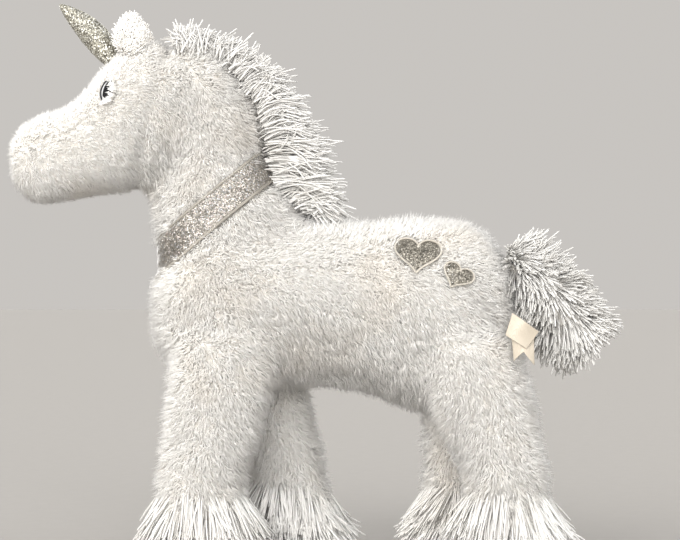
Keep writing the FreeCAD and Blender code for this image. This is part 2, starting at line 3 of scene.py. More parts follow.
import bmesh
import bpy
import numpy as np
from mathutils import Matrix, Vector


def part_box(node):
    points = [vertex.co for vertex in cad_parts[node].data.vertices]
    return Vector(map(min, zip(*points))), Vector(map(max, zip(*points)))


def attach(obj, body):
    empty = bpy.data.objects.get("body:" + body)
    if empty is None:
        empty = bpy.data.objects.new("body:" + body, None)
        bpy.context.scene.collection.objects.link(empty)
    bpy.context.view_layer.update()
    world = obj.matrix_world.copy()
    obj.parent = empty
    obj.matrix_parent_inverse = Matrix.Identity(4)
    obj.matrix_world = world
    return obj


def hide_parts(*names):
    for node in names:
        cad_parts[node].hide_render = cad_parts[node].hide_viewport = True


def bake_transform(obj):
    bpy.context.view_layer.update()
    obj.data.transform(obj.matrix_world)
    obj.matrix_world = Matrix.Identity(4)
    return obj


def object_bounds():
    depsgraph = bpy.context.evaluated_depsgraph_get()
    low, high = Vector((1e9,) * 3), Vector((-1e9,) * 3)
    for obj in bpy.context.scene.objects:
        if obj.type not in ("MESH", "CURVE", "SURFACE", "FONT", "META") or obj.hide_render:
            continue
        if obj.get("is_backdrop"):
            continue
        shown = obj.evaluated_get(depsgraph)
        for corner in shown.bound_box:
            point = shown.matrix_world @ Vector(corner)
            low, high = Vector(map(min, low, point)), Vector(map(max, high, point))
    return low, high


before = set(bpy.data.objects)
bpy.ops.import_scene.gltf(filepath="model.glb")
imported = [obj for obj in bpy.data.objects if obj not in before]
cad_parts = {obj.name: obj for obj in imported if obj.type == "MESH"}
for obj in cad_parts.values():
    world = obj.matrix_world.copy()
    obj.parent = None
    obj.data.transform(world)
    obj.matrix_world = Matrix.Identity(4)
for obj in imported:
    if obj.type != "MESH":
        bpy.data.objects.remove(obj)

LO, HI = (np.array(corner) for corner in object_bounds())
LENGTH = HI[1] - LO[1]
HEIGHT = HI[2] - LO[2]
HALF_WIDTH = (HI[0] - LO[0]) / 2
SCENE = bpy.context.scene
LEGS = ("front_left", "front_right", "hind_left", "hind_right")
NO_TRIS = np.zeros((0, 3), int)
TURNED_OVER = [0, 3, 2, 1]          # a quad's corners the other way round

PILE = 0.0065           # the tips of the pile are this far outside the fabric
HEAD_PILE = 0.0042      # and this far on the head
VOXEL = 0.0042
SWELL_LIMIT = 0.004     # how far the filling may push the fabric out
SWELL_FRAMES = 20
SEAM_DEPTH = 0.0024     # the crease along the jowl seam
TUFTS = 235000
TUFTS_PER_PIECE = 49000
BLUNT = 0.97            # the share of a thread's length where its cut end begins
YARN_RINGS = 5
YARN_TAPER = 0.3        # how much thinner a thread is at its end
YARN_SHADES = {"mane": 0.50, "tail": 0.45, "foot": 0.55}
FOOT_REACH = HALF_WIDTH + 0.011     # foot yarn reaches no further sideways than this
MIDDLE_GAP = 0.0012     # and no nearer to the toy's middle than this
FREE_SHARE = 0.78       # the share of that room where the yarn lies free, before it is held in
RIBBON_HALF = 0.0117    # half the width of the ribbon between its edges
RIBBON_LIFT = 0.0052    # the ribbon's height over the fabric
HEART_FIT = 0.94        # a heart's size over its CAD node's box
HEART_LIFT = 0.0052
BLEND_BEHIND = -0.022   # the head starts to turn this far behind the jowl seam
EYE_FRONT = [(0.72, 1.02), (0.38, 0.89), (0.16, 0.66), (0.11, 0.45), (0.18, 0.29), (0.29, 0.17)]
EYE_BACK = [(0.72, 1.02), (0.90, 0.82), (0.96, 0.55), (0.82, 0.30), (0.58, 0.17), (0.29, 0.17)]
EYE_PUPIL = (0.58, 0.54)
LABEL_FRONT = [(0.30, 1.03), (0.85, 0.69), (0.59, 0.38), (0.15, 0.63)]
LABEL_BACK = [(0.25, 0.85), (0.75, 0.60), (0.75, 0.09), (0.33, 0.16)]
CAMERA_DISTANCE = 1.75

# Sections are fractions of the whole toy: Y of the centre along the length, Z of the centre up the
# height, half depth over the height, half width over the toy's half width, and the angle in
# degrees of the section's own upward line above +Y.
TRUNK = [
    (0.236, 0.484, 0.032, 0.189, 90),
    (0.247, 0.479, 0.078, 0.446, 90),
    (0.281, 0.473, 0.117, 0.689, 90),
    (0.343, 0.477, 0.145, 0.811, 90),
    (0.468, 0.477, 0.145, 0.838, 90),
    (0.581, 0.471, 0.147, 0.824, 90),
    (0.694, 0.456, 0.171, 0.838, 90),
    (0.777, 0.456, 0.155, 0.770, 90),
    (0.822, 0.449, 0.108, 0.568, 90),
    (0.834, 0.447, 0.060, 0.324, 90),
]
NECK = [
    (0.374, 0.492, 0.143, 0.703, 0),
    (0.370, 0.566, 0.140, 0.635, 0),
    (0.355, 0.648, 0.134, 0.554, 0),
    (0.337, 0.723, 0.106, 0.486, 0),
    (0.331, 0.799, 0.099, 0.459, 0),
    (0.318, 0.864, 0.078, 0.419, 0),
    (0.308, 0.907, 0.054, 0.297, 0),
    (0.302, 0.933, 0.030, 0.162, 0),
]
HEAD = [
    (-0.004, 0.734, 0.022, 0.135, 90),
    (0.006, 0.734, 0.052, 0.284, 90),
    (0.039, 0.734, 0.078, 0.378, 90),
    (0.088, 0.745, 0.084, 0.432, 90),
    (0.127, 0.764, 0.097, 0.473, 90),
    (0.156, 0.784, 0.114, 0.500, 90),
    (0.191, 0.801, 0.130, 0.527, 90),
    (0.236, 0.808, 0.134, 0.514, 90),
    (0.290, 0.821, 0.104, 0.419, 90),
]
LEG_SECTIONS = {
    "front_left": [
        (0.364, 0.423, 0.091, 0.392, 0),
        (0.358, 0.356, 0.093, 0.432, 0),
        (0.349, 0.302, 0.091, 0.432, 0),
        (0.341, 0.250, 0.086, 0.419, 0),
        (0.327, 0.194, 0.080, 0.405, 0),
        (0.323, 0.134, 0.078, 0.392, 0),
        (0.310, 0.060, 0.071, 0.365, 0),
        (0.304, 0.013, 0.065, 0.351, 0),
    ],
    "front_right": [
        (0.397, 0.423, 0.086, 0.392, 0),
        (0.405, 0.356, 0.089, 0.432, 0),
        (0.419, 0.302, 0.086, 0.432, 0),
        (0.431, 0.250, 0.082, 0.419, 0),
        (0.450, 0.194, 0.076, 0.405, 0),
        (0.464, 0.134, 0.071, 0.392, 0),
        (0.483, 0.060, 0.067, 0.365, 0),
        (0.499, 0.013, 0.063, 0.351, 0),
    ],
    "hind_left": [
        (0.754, 0.423, 0.086, 0.392, 0),
        (0.770, 0.356, 0.091, 0.432, 0),
        (0.785, 0.302, 0.093, 0.432, 0),
        (0.797, 0.250, 0.086, 0.419, 0),
        (0.818, 0.194, 0.078, 0.405, 0),
        (0.824, 0.134, 0.073, 0.392, 0),
        (0.840, 0.060, 0.069, 0.365, 0),
        (0.853, 0.013, 0.065, 0.351, 0),
    ],
    "hind_right": [
        (0.783, 0.423, 0.086, 0.392, 0),
        (0.775, 0.356, 0.089, 0.432, 0),
        (0.770, 0.302, 0.084, 0.432, 0),
        (0.766, 0.250, 0.078, 0.419, 0),
        (0.760, 0.194, 0.071, 0.405, 0),
        (0.756, 0.134, 0.067, 0.392, 0),
        (0.748, 0.060, 0.065, 0.365, 0),
        (0.742, 0.013, 0.063, 0.351, 0),
    ],
}
TAIL_CORE = [
    (0.824, 0.548, 0.022, 0.122, 80),
    (0.853, 0.538, 0.028, 0.162, 65),
    (0.881, 0.514, 0.032, 0.189, 50),
    (0.916, 0.469, 0.035, 0.203, 48),
    (0.943, 0.438, 0.026, 0.149, 52),
    (0.960, 0.423, 0.011, 0.054, 60),
]
MANE_LINE = [
    (0.281, 0.920, 0.279, 0.976),
    (0.335, 0.903, 0.351, 0.965),
    (0.372, 0.875, 0.413, 0.933),
    (0.401, 0.842, 0.454, 0.894),
    (0.421, 0.799, 0.489, 0.838),
    (0.429, 0.751, 0.516, 0.773),
    (0.438, 0.700, 0.536, 0.726),
    (0.462, 0.661, 0.549, 0.678),
    (0.507, 0.631, 0.553, 0.639),
]
TAIL_LINE = [
    (0.824, 0.544, 0.063, 0.15),
    (0.853, 0.536, 0.067, 0.2),
    (0.886, 0.510, 0.069, 0.3),
    (0.916, 0.471, 0.067, 0.42),
    (0.939, 0.443, 0.060, 0.6),
    (0.955, 0.428, 0.048, 0.9),
]
SEAM_TOP = (0.267, 0.941)
SEAM_FOOT = (0.208, 0.691)
LEG_CUT = 0.298
COLLAR_FRONT = (0.234, 0.542)
COLLAR_BACK = (0.436, 0.721)
CUT_HEIGHT = LO[2] + LEG_CUT * HEIGHT
LEG_GAP = LO[1] + 0.571 * LENGTH      # between the front and the hind legs


def spot(along, up):
    """Turns fractions of the toy's length and height into metres."""
    return LO[1] + along * LENGTH, LO[2] + up * HEIGHT


def corners(node):
    """The lowest and highest corner of a CAD node's box."""
    return (np.array(corner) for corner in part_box(node))


def in_box(node, x, y, z):
    """The point that lies at the given fractions of a CAD node's box."""
    low, high = corners(node)
    return low + (high - low) * np.array((x, y, z))


def leg_middle(name):
    """The middle of a leg's stuffing."""
    return in_box(f"{name}_leg_stuffing", 0.5, 0.5, 0.5)


def smooth_step(distance, width):
    """A smooth step from 0 to 1 that is half way at distance zero: 1 / (1 + e^(-distance/width))."""
    return 1 / (1 + np.exp(-distance / width))


def unit(vectors):
    """Vectors scaled to a length of one."""
    return vectors / np.maximum(np.linalg.norm(vectors, axis=-1, keepdims=True), 1e-9)


def smooth_rows(table, rows):
    """Catmull-Rom interpolation: each span is the cubic whose end slopes are half the difference
    of the neighbouring entries, so a curve passes through every entry without a corner."""
    table = np.asarray(table, float)
    place = np.linspace(0, len(table) - 1, rows)
    index = np.minimum(place.astype(int), len(table) - 2)
    t = (place - index).reshape((-1,) + (1,) * (table.ndim - 1))
    padded = np.concatenate([[2 * table[0] - table[1]], table, [2 * table[-1] - table[-2]]])
    a, b, c, d = (padded[index + k] for k in range(4))
    return 0.5 * (2 * b + (c - a) * t + (2 * a - 5 * b + 4 * c - d) * t**2 + (3 * b - a - 3 * c + d) * t**3)


def grid_quads(rows, sides, round_rows=False, round_sides=True):
    """Quads between the neighbours of a grid of points, which may close on itself either way."""
    row = np.arange(rows if round_rows else rows - 1)[:, None]
    side = np.arange(sides if round_sides else sides - 1)
    next_side = (side + 1) % sides
    here = row * sides
    beyond = (row + 1) % rows * sides
    return np.stack([here + side, here + next_side, beyond + next_side, beyond + side], -1).reshape(-1, 4)


def tube_faces(rows, sides):
    """Quads between neighbouring rings, and triangles from the first and last ring to two poles."""
    ring = np.arange(sides)
    turned = (ring + 1) % sides
    first = np.stack([turned, ring, np.full(sides, rows * sides)], -1)
    base = (rows - 1) * sides
    last = np.stack([base + ring, base + turned, np.full(sides, rows * sides + 1)], -1)
    return grid_quads(rows, sides), np.concatenate([first, last])


def outward(points, quads, tris):
    """Reverses every face if the volume they enclose, the sum of a.(b x c) / 6, is negative."""
    fan = np.concatenate([quads[:, [0, 1, 2]], quads[:, [0, 2, 3]], tris]) if len(quads) else tris
    a, b, c = (points[fan[:, k]] for k in range(3))
    if np.einsum("ij,ij->i", a, np.cross(b, c)).sum() < 0:
        return quads[:, ::-1], tris[:, ::-1]
    return quads, tris


def make_mesh(name, points, quads, tris=NO_TRIS, **floats):
    """Fills a mesh from whole arrays, with one value per point for each named attribute."""
    mesh = bpy.data.meshes.new(name)
    around = np.concatenate([quads.ravel(), tris.ravel()]).astype(np.int32)
    starts = np.concatenate([np.arange(len(quads)) * 4, len(quads) * 4 + np.arange(len(tris)) * 3])
    mesh.vertices.add(len(points))
    mesh.vertices.foreach_set("co", np.ascontiguousarray(points, np.float32).ravel())
    mesh.loops.add(len(around))
    mesh.loops.foreach_set("vertex_index", around)
    mesh.polygons.add(len(starts))
    mesh.polygons.foreach_set("loop_start", starts.astype(np.int32))
    mesh.polygons.foreach_set("use_smooth", np.ones(len(starts), bool))
    mesh.update(calc_edges=True)
    for label, values in floats.items():
        layer = mesh.attributes.new(label, "FLOAT", "POINT")
        layer.data.foreach_set("value", np.ascontiguousarray(values, np.float32).ravel())
    piece = bpy.data.objects.new(name, mesh)
    SCENE.collection.objects.link(piece)
    return piece


def read_mesh(piece):
    """Points, point normals and triangles of a mesh as whole arrays."""
    mesh = piece.data
    mesh.calc_loop_triangles()
    points = np.empty(len(mesh.vertices) * 3, np.float32)
    normals = np.empty_like(points)
    tris = np.empty(len(mesh.loop_triangles) * 3, np.int32)
    mesh.vertices.foreach_get("co", points)
    mesh.vertices.foreach_get("normal", normals)
    mesh.loop_triangles.foreach_get("vertices", tris)
    return points.reshape(-1, 3).astype(float), normals.reshape(-1, 3).astype(float), tris.reshape(-1, 3)


def write_points(piece, points):
    """Puts new places into a mesh."""
    piece.data.vertices.foreach_set("co", np.ascontiguousarray(points, np.float32).ravel())
    piece.data.update()


def settle(piece):
    """Applies a piece's modifiers to its mesh."""
    bpy.context.view_layer.update()
    graph = bpy.context.evaluated_depsgraph_get()
    mesh = bpy.data.meshes.new_from_object(piece.evaluated_get(graph))
    piece.modifiers.clear()
    piece.data = mesh
    return piece


def with_modifier(piece, kind, **values):
    """Adds one modifier, sets its values and applies it."""
    modifier = piece.modifiers.new(kind.title(), kind)
    for key, value in values.items():
        setattr(modifier, key, value)
    return settle(piece)


# ---------------------------------------------------------------- the padded body

def oval_rings(table, rows, sides, side_offset=0.0, fullness=2.25):
    """Superellipse sections carried along a spine. A ring's point at angle a is the centre plus
    depth * |sin a|^(2/fullness) along the section's upward line and width * |cos a|^(2/fullness)
    across. The first and last rings shrink like a dome so that the ends are round."""
    entries = smooth_rows(table, rows)
    y, z = spot(entries[:, 0], entries[:, 1])
    depth = entries[:, 2] * HEIGHT
    width = entries[:, 3] * HALF_WIDTH
    tilt = np.radians(entries[:, 4])
    angle = np.linspace(0, 2 * np.pi, sides, endpoint=False)
    power = 2 / fullness
    across = np.sign(np.cos(angle)) * np.abs(np.cos(angle)) ** power
    upward = np.sign(np.sin(angle)) * np.abs(np.sin(angle)) ** power
    x = side_offset + width[:, None] * across
    ry = y[:, None] + depth[:, None] * upward * np.cos(tilt)[:, None]
    rz = z[:, None] + depth[:, None] * upward * np.sin(tilt)[:, None]
    return np.stack([x, ry, rz], -1)


def closed_tube(rings):
    """Points and outward faces of a tube whose ends close on the middle of their rings."""
    rows, sides = rings.shape[:2]
    points = np.concatenate([rings.reshape(-1, 3), rings[:1].mean(1), rings[-1:].mean(1)])
    quads, tris = tube_faces(rows, sides)
    return points, *outward(points, quads, tris)


def merged(parts):
    """One set of points and faces from several closed tubes."""
    points, quads, tris, count = [], [], [], 0
    for p, q, t in parts:
        points.append(p)
        quads.append(q + count)
        tris.append(t + count)
        count += len(p)
    return np.concatenate(points), np.concatenate(quads), np.concatenate(tris)


def swell(piece, limit):
    """Blows the fabric up with cloth pressure, then limits how far a point has moved."""
    before, _, _ = read_mesh(piece)
    modifier = piece.modifiers.new("Swell", "CLOTH")
    modifier.settings.quality = 4
    modifier.settings.use_pressure = True
    modifier.settings.uniform_pressure_force = 4
    modifier.settings.effector_weights.gravity = 0
    modifier.point_cache.frame_start = 1
    modifier.point_cache.frame_end = SWELL_FRAMES
    for number in range(1, SWELL_FRAMES + 1):
        SCENE.frame_set(number)
    settle(piece)
    after, _, _ = read_mesh(piece)
    SCENE.frame_set(1)
    move = after - before
    size = np.linalg.norm(move, axis=1, keepdims=True)
    write_points(piece, before + move * np.minimum(1, limit / np.maximum(size, 1e-9)))


def seam_distance(points):
    """Signed distance in front of the jowl seam's plane: positive in the head, negative in the neck."""
    top = np.array(spot(*SEAM_TOP))
    foot = np.array(spot(*SEAM_FOOT))
    down = unit(foot - top)
    ahead = np.array((down[1], -down[0]))
    return (points[..., 1:] - top) @ ahead


def padded_body():
    """Trunk, neck, head and legs as one skin: tubes merged by a voxel remesh, drawn in by the
    pile's height, creased along the jowl seam and swollen by its filling."""
    parts = [closed_tube(oval_rings(TRUNK, 60, 56))]
    parts.append(closed_tube(oval_rings(NECK, 48, 48)))
    parts.append(closed_tube(oval_rings(HEAD, 52, 48)))
    for name, table in LEG_SECTIONS.items():
        parts.append(closed_tube(oval_rings(table, 40, 40, side_offset=leg_middle(name)[0])))
    body = make_mesh("body_form", *merged(parts))
    with_modifier(body, "REMESH", mode="VOXEL", voxel_size=VOXEL, use_smooth_shade=True)
    with_modifier(body, "SMOOTH", factor=0.5, iterations=6)
    points, normals, _ = read_mesh(body)
    in_head = smooth_step(seam_distance(points), 0.006)
    write_points(body, points - normals * (PILE + (HEAD_PILE - PILE) * in_head)[:, None])
    with_modifier(body, "SMOOTH", factor=0.5, iterations=4)
    swell(body, SWELL_LIMIT)
    with_modifier(body, "SMOOTH", factor=0.4, iterations=2)
    points, normals, _ = read_mesh(body)
    ahead = seam_distance(points)
    crease = SEAM_DEPTH * np.exp(-(ahead / 0.005) ** 2) * (points[:, 2] > LO[2] + 0.62 * HEIGHT)
    write_points(body, points - normals * crease[:, None])
    return with_modifier(body, "SUBSURF", levels=1, render_levels=1)


def cut_out(source, name, planes):
    """A closed copy of the part of a skin in front of every given plane (point and normal)."""
    work = bmesh.new()
    work.from_mesh(source.data)
    for point, normal in planes:
        geometry = work.verts[:] + work.edges[:] + work.faces[:]
        bmesh.ops.bisect_plane(work, geom=geometry, plane_co=point, plane_no=normal, clear_inner=True)
        rim = [edge for edge in work.edges if edge.is_boundary]
        if rim:
            bmesh.ops.holes_fill(work, edges=rim, sides=0)
    bmesh.ops.triangulate(work, faces=[face for face in work.faces if len(face.verts) > 4])
    mesh = bpy.data.meshes.new(name)
    work.to_mesh(mesh)
    work.free()
    piece = bpy.data.objects.new(name, mesh)
    SCENE.collection.objects.link(piece)
    return piece


# ---------------------------------------------------------------- fur, yarn and thread

def strand_arrays(paths, radii, sides):
    """Tapered threads. Each path's rings have the given number of sides, set square to the path,
    and its last point is the tip, where the sides meet. The foot is closed by one face."""
    count, rings = paths.shape[0], paths.shape[1] - 1
    along = unit(np.gradient(paths, axis=1))
    helper = np.where(np.abs(along[:, :1, 2:3]) > 0.8, np.array((1.0, 0.0, 0.0)), np.array((0.0, 0.0, 1.0)))
    side = unit(np.cross(along, helper))
    rise = np.cross(along, side)
    angle = np.linspace(0, 2 * np.pi, sides, endpoint=False)
    spokes = side[:, :rings, None] * np.cos(angle)[:, None] + rise[:, :rings, None] * np.sin(angle)[:, None]
    ring_points = paths[:, :rings, None] + spokes * radii[:, :rings, None, None]
    points = np.concatenate([ring_points.reshape(count, -1, 3), paths[:, -1:]], 1)
    per_strand = rings * sides + 1
    ring = np.arange(sides)
    turned = (ring + 1) % sides
    quads = grid_quads(rings, sides)
    base = (rings - 1) * sides
    tris = np.stack([base + ring, base + turned, np.full(sides, per_strand - 1)], -1)
    foot = ring[::-1][None]
    offset = (np.arange(count) * per_strand)[:, None, None]
    quads = (quads[None] + offset).reshape(-1, 4)
    tris = (tris[None] + offset).reshape(-1, 3)
    foot = (foot[None] + offset).reshape(-1, sides)
    if sides == 3:
        tris = np.concatenate([tris, foot])
    else:
        quads = np.concatenate([quads, foot])
    return points.reshape(-1, 3), quads, tris, per_strand


def strand_piece(name, paths, radii, sides, tone):
    """Threads as one piece, with each point's share of the way along and its thread's own tone."""
    points, quads, tris, per_strand = strand_arrays(paths, radii, sides)
    rings = paths.shape[1] - 1
    share = np.append(np.repeat(np.linspace(0, 1, rings + 1)[:rings], sides), 1.0)
    return make_mesh(name, points, quads, tris,
                     along=np.tile(share, len(paths)), tone=np.repeat(tone, per_strand))


def waves(points, scale, seed):
    """A smooth vector field: for each axis, three sines of seeded direction and phase added up."""
    rng = np.random.default_rng(seed)
    turns = rng.normal(0, 1, (3, 3, 3)) / scale
    phase = rng.uniform(0, 2 * np.pi, (3, 3))
    return np.sin(np.einsum("pk,awk->paw", points, turns) + phase).sum(-1) / 3


def scattered(points, normals, tris, weight, count, rng):
    """Points spread evenly over a surface: triangles drawn by area times weight, then a place
    inside each one from two random shares folded back into the triangle."""
    a, b, c = (points[tris[:, k]] for k in range(3))
    area = np.linalg.norm(np.cross(b - a, c - a), axis=1) * weight[tris].mean(1)
    chosen = rng.choice(len(tris), count, p=area / area.sum())
    u, v = rng.random((2, count, 1))
    over = u + v > 1
    u, v = np.where(over, 1 - u, u), np.where(over, 1 - v, v)
    mix = lambda values: (values[tris[chosen, 0]] * (1 - u - v) + values[tris[chosen, 1]] * u
                          + values[tris[chosen, 2]] * v)
    return mix(points), unit(mix(normals))


def lay(points):
    """The way the pile is combed: back along the head, down the neck, back and down the trunk,
    and straight down the legs, turning smoothly from one to the next."""
    head = smooth_step(seam_distance(points), 0.006)
    up = (points[:, 2] - LO[2]) / HEIGHT
    leg = smooth_step(0.34 - up, 0.03)
    neck = smooth_step(up - 0.6, 0.03) * (1 - head)
    trunk = (1 - head) * (1 - leg) * (1 - neck)
    flow = (head[:, None] * np.array((0, 1.0, -0.45)) + leg[:, None] * np.array((0, 0.1, -1.0))
            + neck[:, None] * np.array((0, 0.4, -1.0)) + trunk[:, None] * np.array((0, 0.7, -0.8)))
    return flow


def tuft_paths(roots, directions, lengths, droop, rings):
    """Bent threads with blunt cut ends: the point at share t is the root plus the length times (t
    along the thread's own direction plus t squared along its droop)."""
    t = np.append(np.linspace(0, BLUNT, rings), 1.0)[None, :, None]
    return roots[:, None] + lengths[:, None, None] * (directions[:, None] * t + droop[:, None] * t**2)


def region_of(points):
    """Which piece a point of the skin belongs to: head, torso or one of the four legs."""
    names = np.full(len(points), "torso", dtype="<U12")
    names[seam_distance(points) > BLEND_BEHIND] = "head"
    below = points[:, 2] < CUT_HEIGHT
    for name in LEGS:
        front = points[:, 1] < LEG_GAP
        own_side = np.sign(points[:, 0]) == np.sign(leg_middle(name)[0])
        here = below & own_side & (front == name.startswith("front"))
        names[here] = name
    return names


def inside_outline(points, outline):
    """True where a point lies inside a closed outline, by counting the edges that a line from it
    crosses."""
    y, z = points[:, 0, None], points[:, 1, None]
    y0, z0 = outline[:, 0], outline[:, 1]
    y1, z1 = np.roll(y0, -1), np.roll(z0, -1)
    rising = (z0 > z) != (z1 > z)
    meets = (y1 - y0) * (z - z0) / np.where(z1 == z0, 1e-9, z1 - z0) + y0
    return (rising & (y < meets)).sum(1) % 2 == 1


def pile(points, normals, tris):
    """Cut pile over the whole skin: fine spikes that stand up from the fabric, lean with the lay,
    gather in locks along soft waves and vary in length, each in the piece that its foot is on."""
    rng = np.random.default_rng(11)
    height = (points[:, 2] - LO[2]) / HEIGHT
    weight = np.where(height > 0.035, 1.0, 0.02)
    weight = weight * np.where(seam_distance(points) > 0, 1.25, 1.0)
    roots, facing = scattered(points, normals, tris, weight, TUFTS, rng)
    flow = lay(roots)
    flow = flow - facing * np.einsum("ij,ij->i", flow, facing)[:, None]
    in_head = smooth_step(seam_distance(roots), 0.008)
    swirl = waves(roots, 0.009, 3) * 0.30 + waves(roots, 0.0028, 4) * 0.30 + waves(roots, 0.0011, 6) * 0.42
    loose = rng.normal(0, 0.20, roots.shape)
    calm = (1 - 0.45 * in_head)[:, None]
    direction = unit(facing * (0.72 + 0.1 * in_head)[:, None] + unit(flow) * 0.62 + (swirl + loose) * calm)
    outward_share = np.einsum("ij,ij->i", direction, facing)
    direction = unit(direction + facing * np.maximum(0.25 - outward_share, 0)[:, None])
    lengths = (0.0112 - 0.0046 * in_head) * rng.uniform(0.6, 1.25, len(roots))
    across_collar, near_neck = collar_place(roots)
    lengths = np.where(near_neck & (np.abs(across_collar) < RIBBON_HALF * 0.92), 0.0030, lengths)
    crease = np.exp(-(seam_distance(roots) / 0.004) ** 2)
    lengths = lengths * (1 - 0.18 * crease)
    keep = np.ones(len(roots), bool)
    for outline, side in CLEARINGS:
        close = np.sign(roots[:, 0]) == side
        keep &= ~(close & inside_outline(roots[:, 1:], outline))
    roots, facing, direction, lengths, flow = (a[keep] for a in (roots, facing, direction, lengths, flow))
    foot = roots - facing * 0.0012
    tip = roots + lengths[:, None] * unit(direction + unit(flow) * 0.12 - np.array((0, 0, 0.06)))
    paths = np.stack([foot, tip], 1)
    radii = rng.uniform(0.00042, 0.00078, (len(roots), 1)) * np.array((1.0, 0.0))
    paths[:, :, 2] = np.maximum(paths[:, :, 2], LO[2] + 0.0008)
    tone = np.clip(0.55 + 0.25 * waves(roots, 0.0025, 5)[:, 0] + rng.normal(0, 0.18, len(roots)), 0, 1)
    names = region_of(roots)
    made = {}
    for region in ("torso", "head", *LEGS):
        chosen = np.flatnonzero(names == region)
        order = np.argsort(paths[chosen, 0, 1], kind="stable")
        blocks = np.array_split(chosen[order], max(1, int(np.ceil(len(chosen) / TUFTS_PER_PIECE))))
        made[region] = [
            strand_piece(f"{region}_pile_{number}", paths[block], radii[block], 3, tone[block])
            for number, block in enumerate(blocks, 1)
        ]
    return made


def gathered(root, tip_way, lengths, count, strength, rng):
    """Gathers threads into locks: each thread picks the lock whose seeded foot is nearest, and its
    way is drawn towards the mean way of that lock."""
    seeds = root[rng.choice(len(root), count, replace=False)]
    nearest = np.argmin(((root[:, None] - seeds[None]) ** 2).sum(-1), axis=1)
    tips = root + tip_way * lengths[:, None]
    total = np.zeros((count, 3))
    np.add.at(total, nearest, tips)
    share = np.bincount(nearest, minlength=count)[:, None]
    goal = (total / np.maximum(share, 1))[nearest]
    goal = goal + rng.normal(0, 0.0024, root.shape)
    return unit(tip_way * lengths[:, None] * (1 - strength) + (goal - root) * strength)


def yarn_paths(root, way, lengths, bundle, locks, pull, fall, curl, sway, rng):
    """Yarn gathered in locks, which droops by its weight, its own curl and its bundle's sway."""
    way = gathered(root, way, lengths, len(root) // locks, pull, rng)
    droop = rng.normal(0, curl, root.shape) + bundle * sway - np.array((0, 0, fall))
    return tuft_paths(root, way, lengths, droop, YARN_RINGS)


def yarn_piece(name, kind, paths, bundle, thickness, rng):
    """Yarn as one piece: each thread has its own thickness and tone, and tapers a little."""
    taper = 1 - YARN_TAPER * np.linspace(0, 1, YARN_RINGS + 1) ** 2
    radii = rng.uniform(0.75, 1.2, (len(paths), 1)) * thickness * taper
    tone = np.clip(YARN_SHADES[kind] + 0.3 * bundle[:, 1] + rng.normal(0, 0.18, len(paths)), 0, 1)
    return strand_piece(name, paths, radii, 3, tone)


def mane():
    """The mane: yarn sewn in along the crest, standing up over the poll and fanning back and down
    towards the withers. Each thread starts near the root line and heads for the tip line at the
    same share along both."""
    rng = np.random.default_rng(21)
    count = 4600
    table = np.array(MANE_LINE)
    root_y, root_z = spot(table[:, 0], table[:, 1])
    tip_y, tip_z = spot(table[:, 2], table[:, 3])
    zero = np.zeros(len(table))
    roots = smooth_rows(np.stack([zero, root_y, root_z], 1), 60)
    tips = smooth_rows(np.stack([zero, tip_y, tip_z], 1), 60)
    place = rng.random(count) * (len(roots) - 1)
    index = np.minimum(place.astype(int), len(roots) - 2)
    t = (place - index)[:, None]
    root = roots[index] * (1 - t) + roots[index + 1] * t
    tip = tips[index] * (1 - t) + tips[index + 1] * t
    reach = np.linalg.norm(tip - root, axis=1)
    root = root + np.stack([rng.normal(0, spread, count) for spread in (0.0085, 0.0025, 0.0025)], 1)
    bundle = waves(root * np.array((0.5, 1, 1)), 0.0035, 22)
    lengths = reach * rng.uniform(0.83, 0.98, count)
    lift = np.array((0, 0, 0.14))
    way = unit(unit(tip - root) + bundle * 0.5 + lift + rng.normal(0, 0.10, (count, 3)))
    paths = yarn_paths(root, way, lengths, bundle, 12, 0.62, 0.36, 0.10, 0.25, rng)
    return yarn_piece("mane_yarn", "mane", paths, bundle, 0.00086, rng)


def tail():
    """The tail: a padded core, and yarn that stands out from it all round and points more and
    more towards the tip."""
    core = make_mesh("tail_core", *closed_tube(oval_rings(TAIL_CORE, 30, 24)))
    rng = np.random.default_rng(31)
    count = 5400
    table = np.array(TAIL_LINE)
    y, z = spot(table[:, 0], table[:, 1])
    line = smooth_rows(np.stack([np.zeros(len(table)), y, z, table[:, 2] * HEIGHT, table[:, 3]], 1), 80)
    share = rng.random(count) ** 0.9
    place = np.minimum((share * 79).astype(int), 79)
    centre, reach, lean = line[place, :3], line[place, 3], line[place, 4]
    ahead = unit(np.gradient(line[:, :3], axis=0))[place]
    across = np.array((1.0, 0, 0))
    rise = np.cross(across, ahead)
    angle = rng.uniform(0, 2 * np.pi, count)
    spoke = across * np.cos(angle)[:, None] * 0.75 + rise * np.sin(angle)[:, None]
    bundle = waves(centre + spoke * 0.02, 0.006, 33)
    way = unit(spoke + ahead * lean[:, None] + bundle * 0.4 + rng.normal(0, 0.10, (count, 3)))
    root = centre + spoke * 0.009
    lengths = reach * rng.uniform(0.62, 1.02, count)
    paths = yarn_paths(root, way, lengths, bundle, 14, 0.66, 0.22, 0.10, 0.1, rng)
    return core, yarn_piece("tail_yarn", "tail", paths, bundle, 0.00090, rng)


def held_sideways(x, middle):
    """Keeps yarn in its own leg's room: past a free share of the room, the distance from the leg's
    middle follows a tanh that never reaches the outer limit or the toy's middle."""
    hand = np.sign(middle)
    reach = (x - middle) * hand
    room = np.where(reach > 0, FOOT_REACH - abs(middle), abs(middle) - MIDDLE_GAP)
    free = room * FREE_SHARE
    past = np.maximum(np.abs(reach) - free, 0) / (room - free)
    held = np.where(past > 0, np.sign(reach) * (free + (room - free) * np.tanh(past)), reach)
    return middle + hand * held


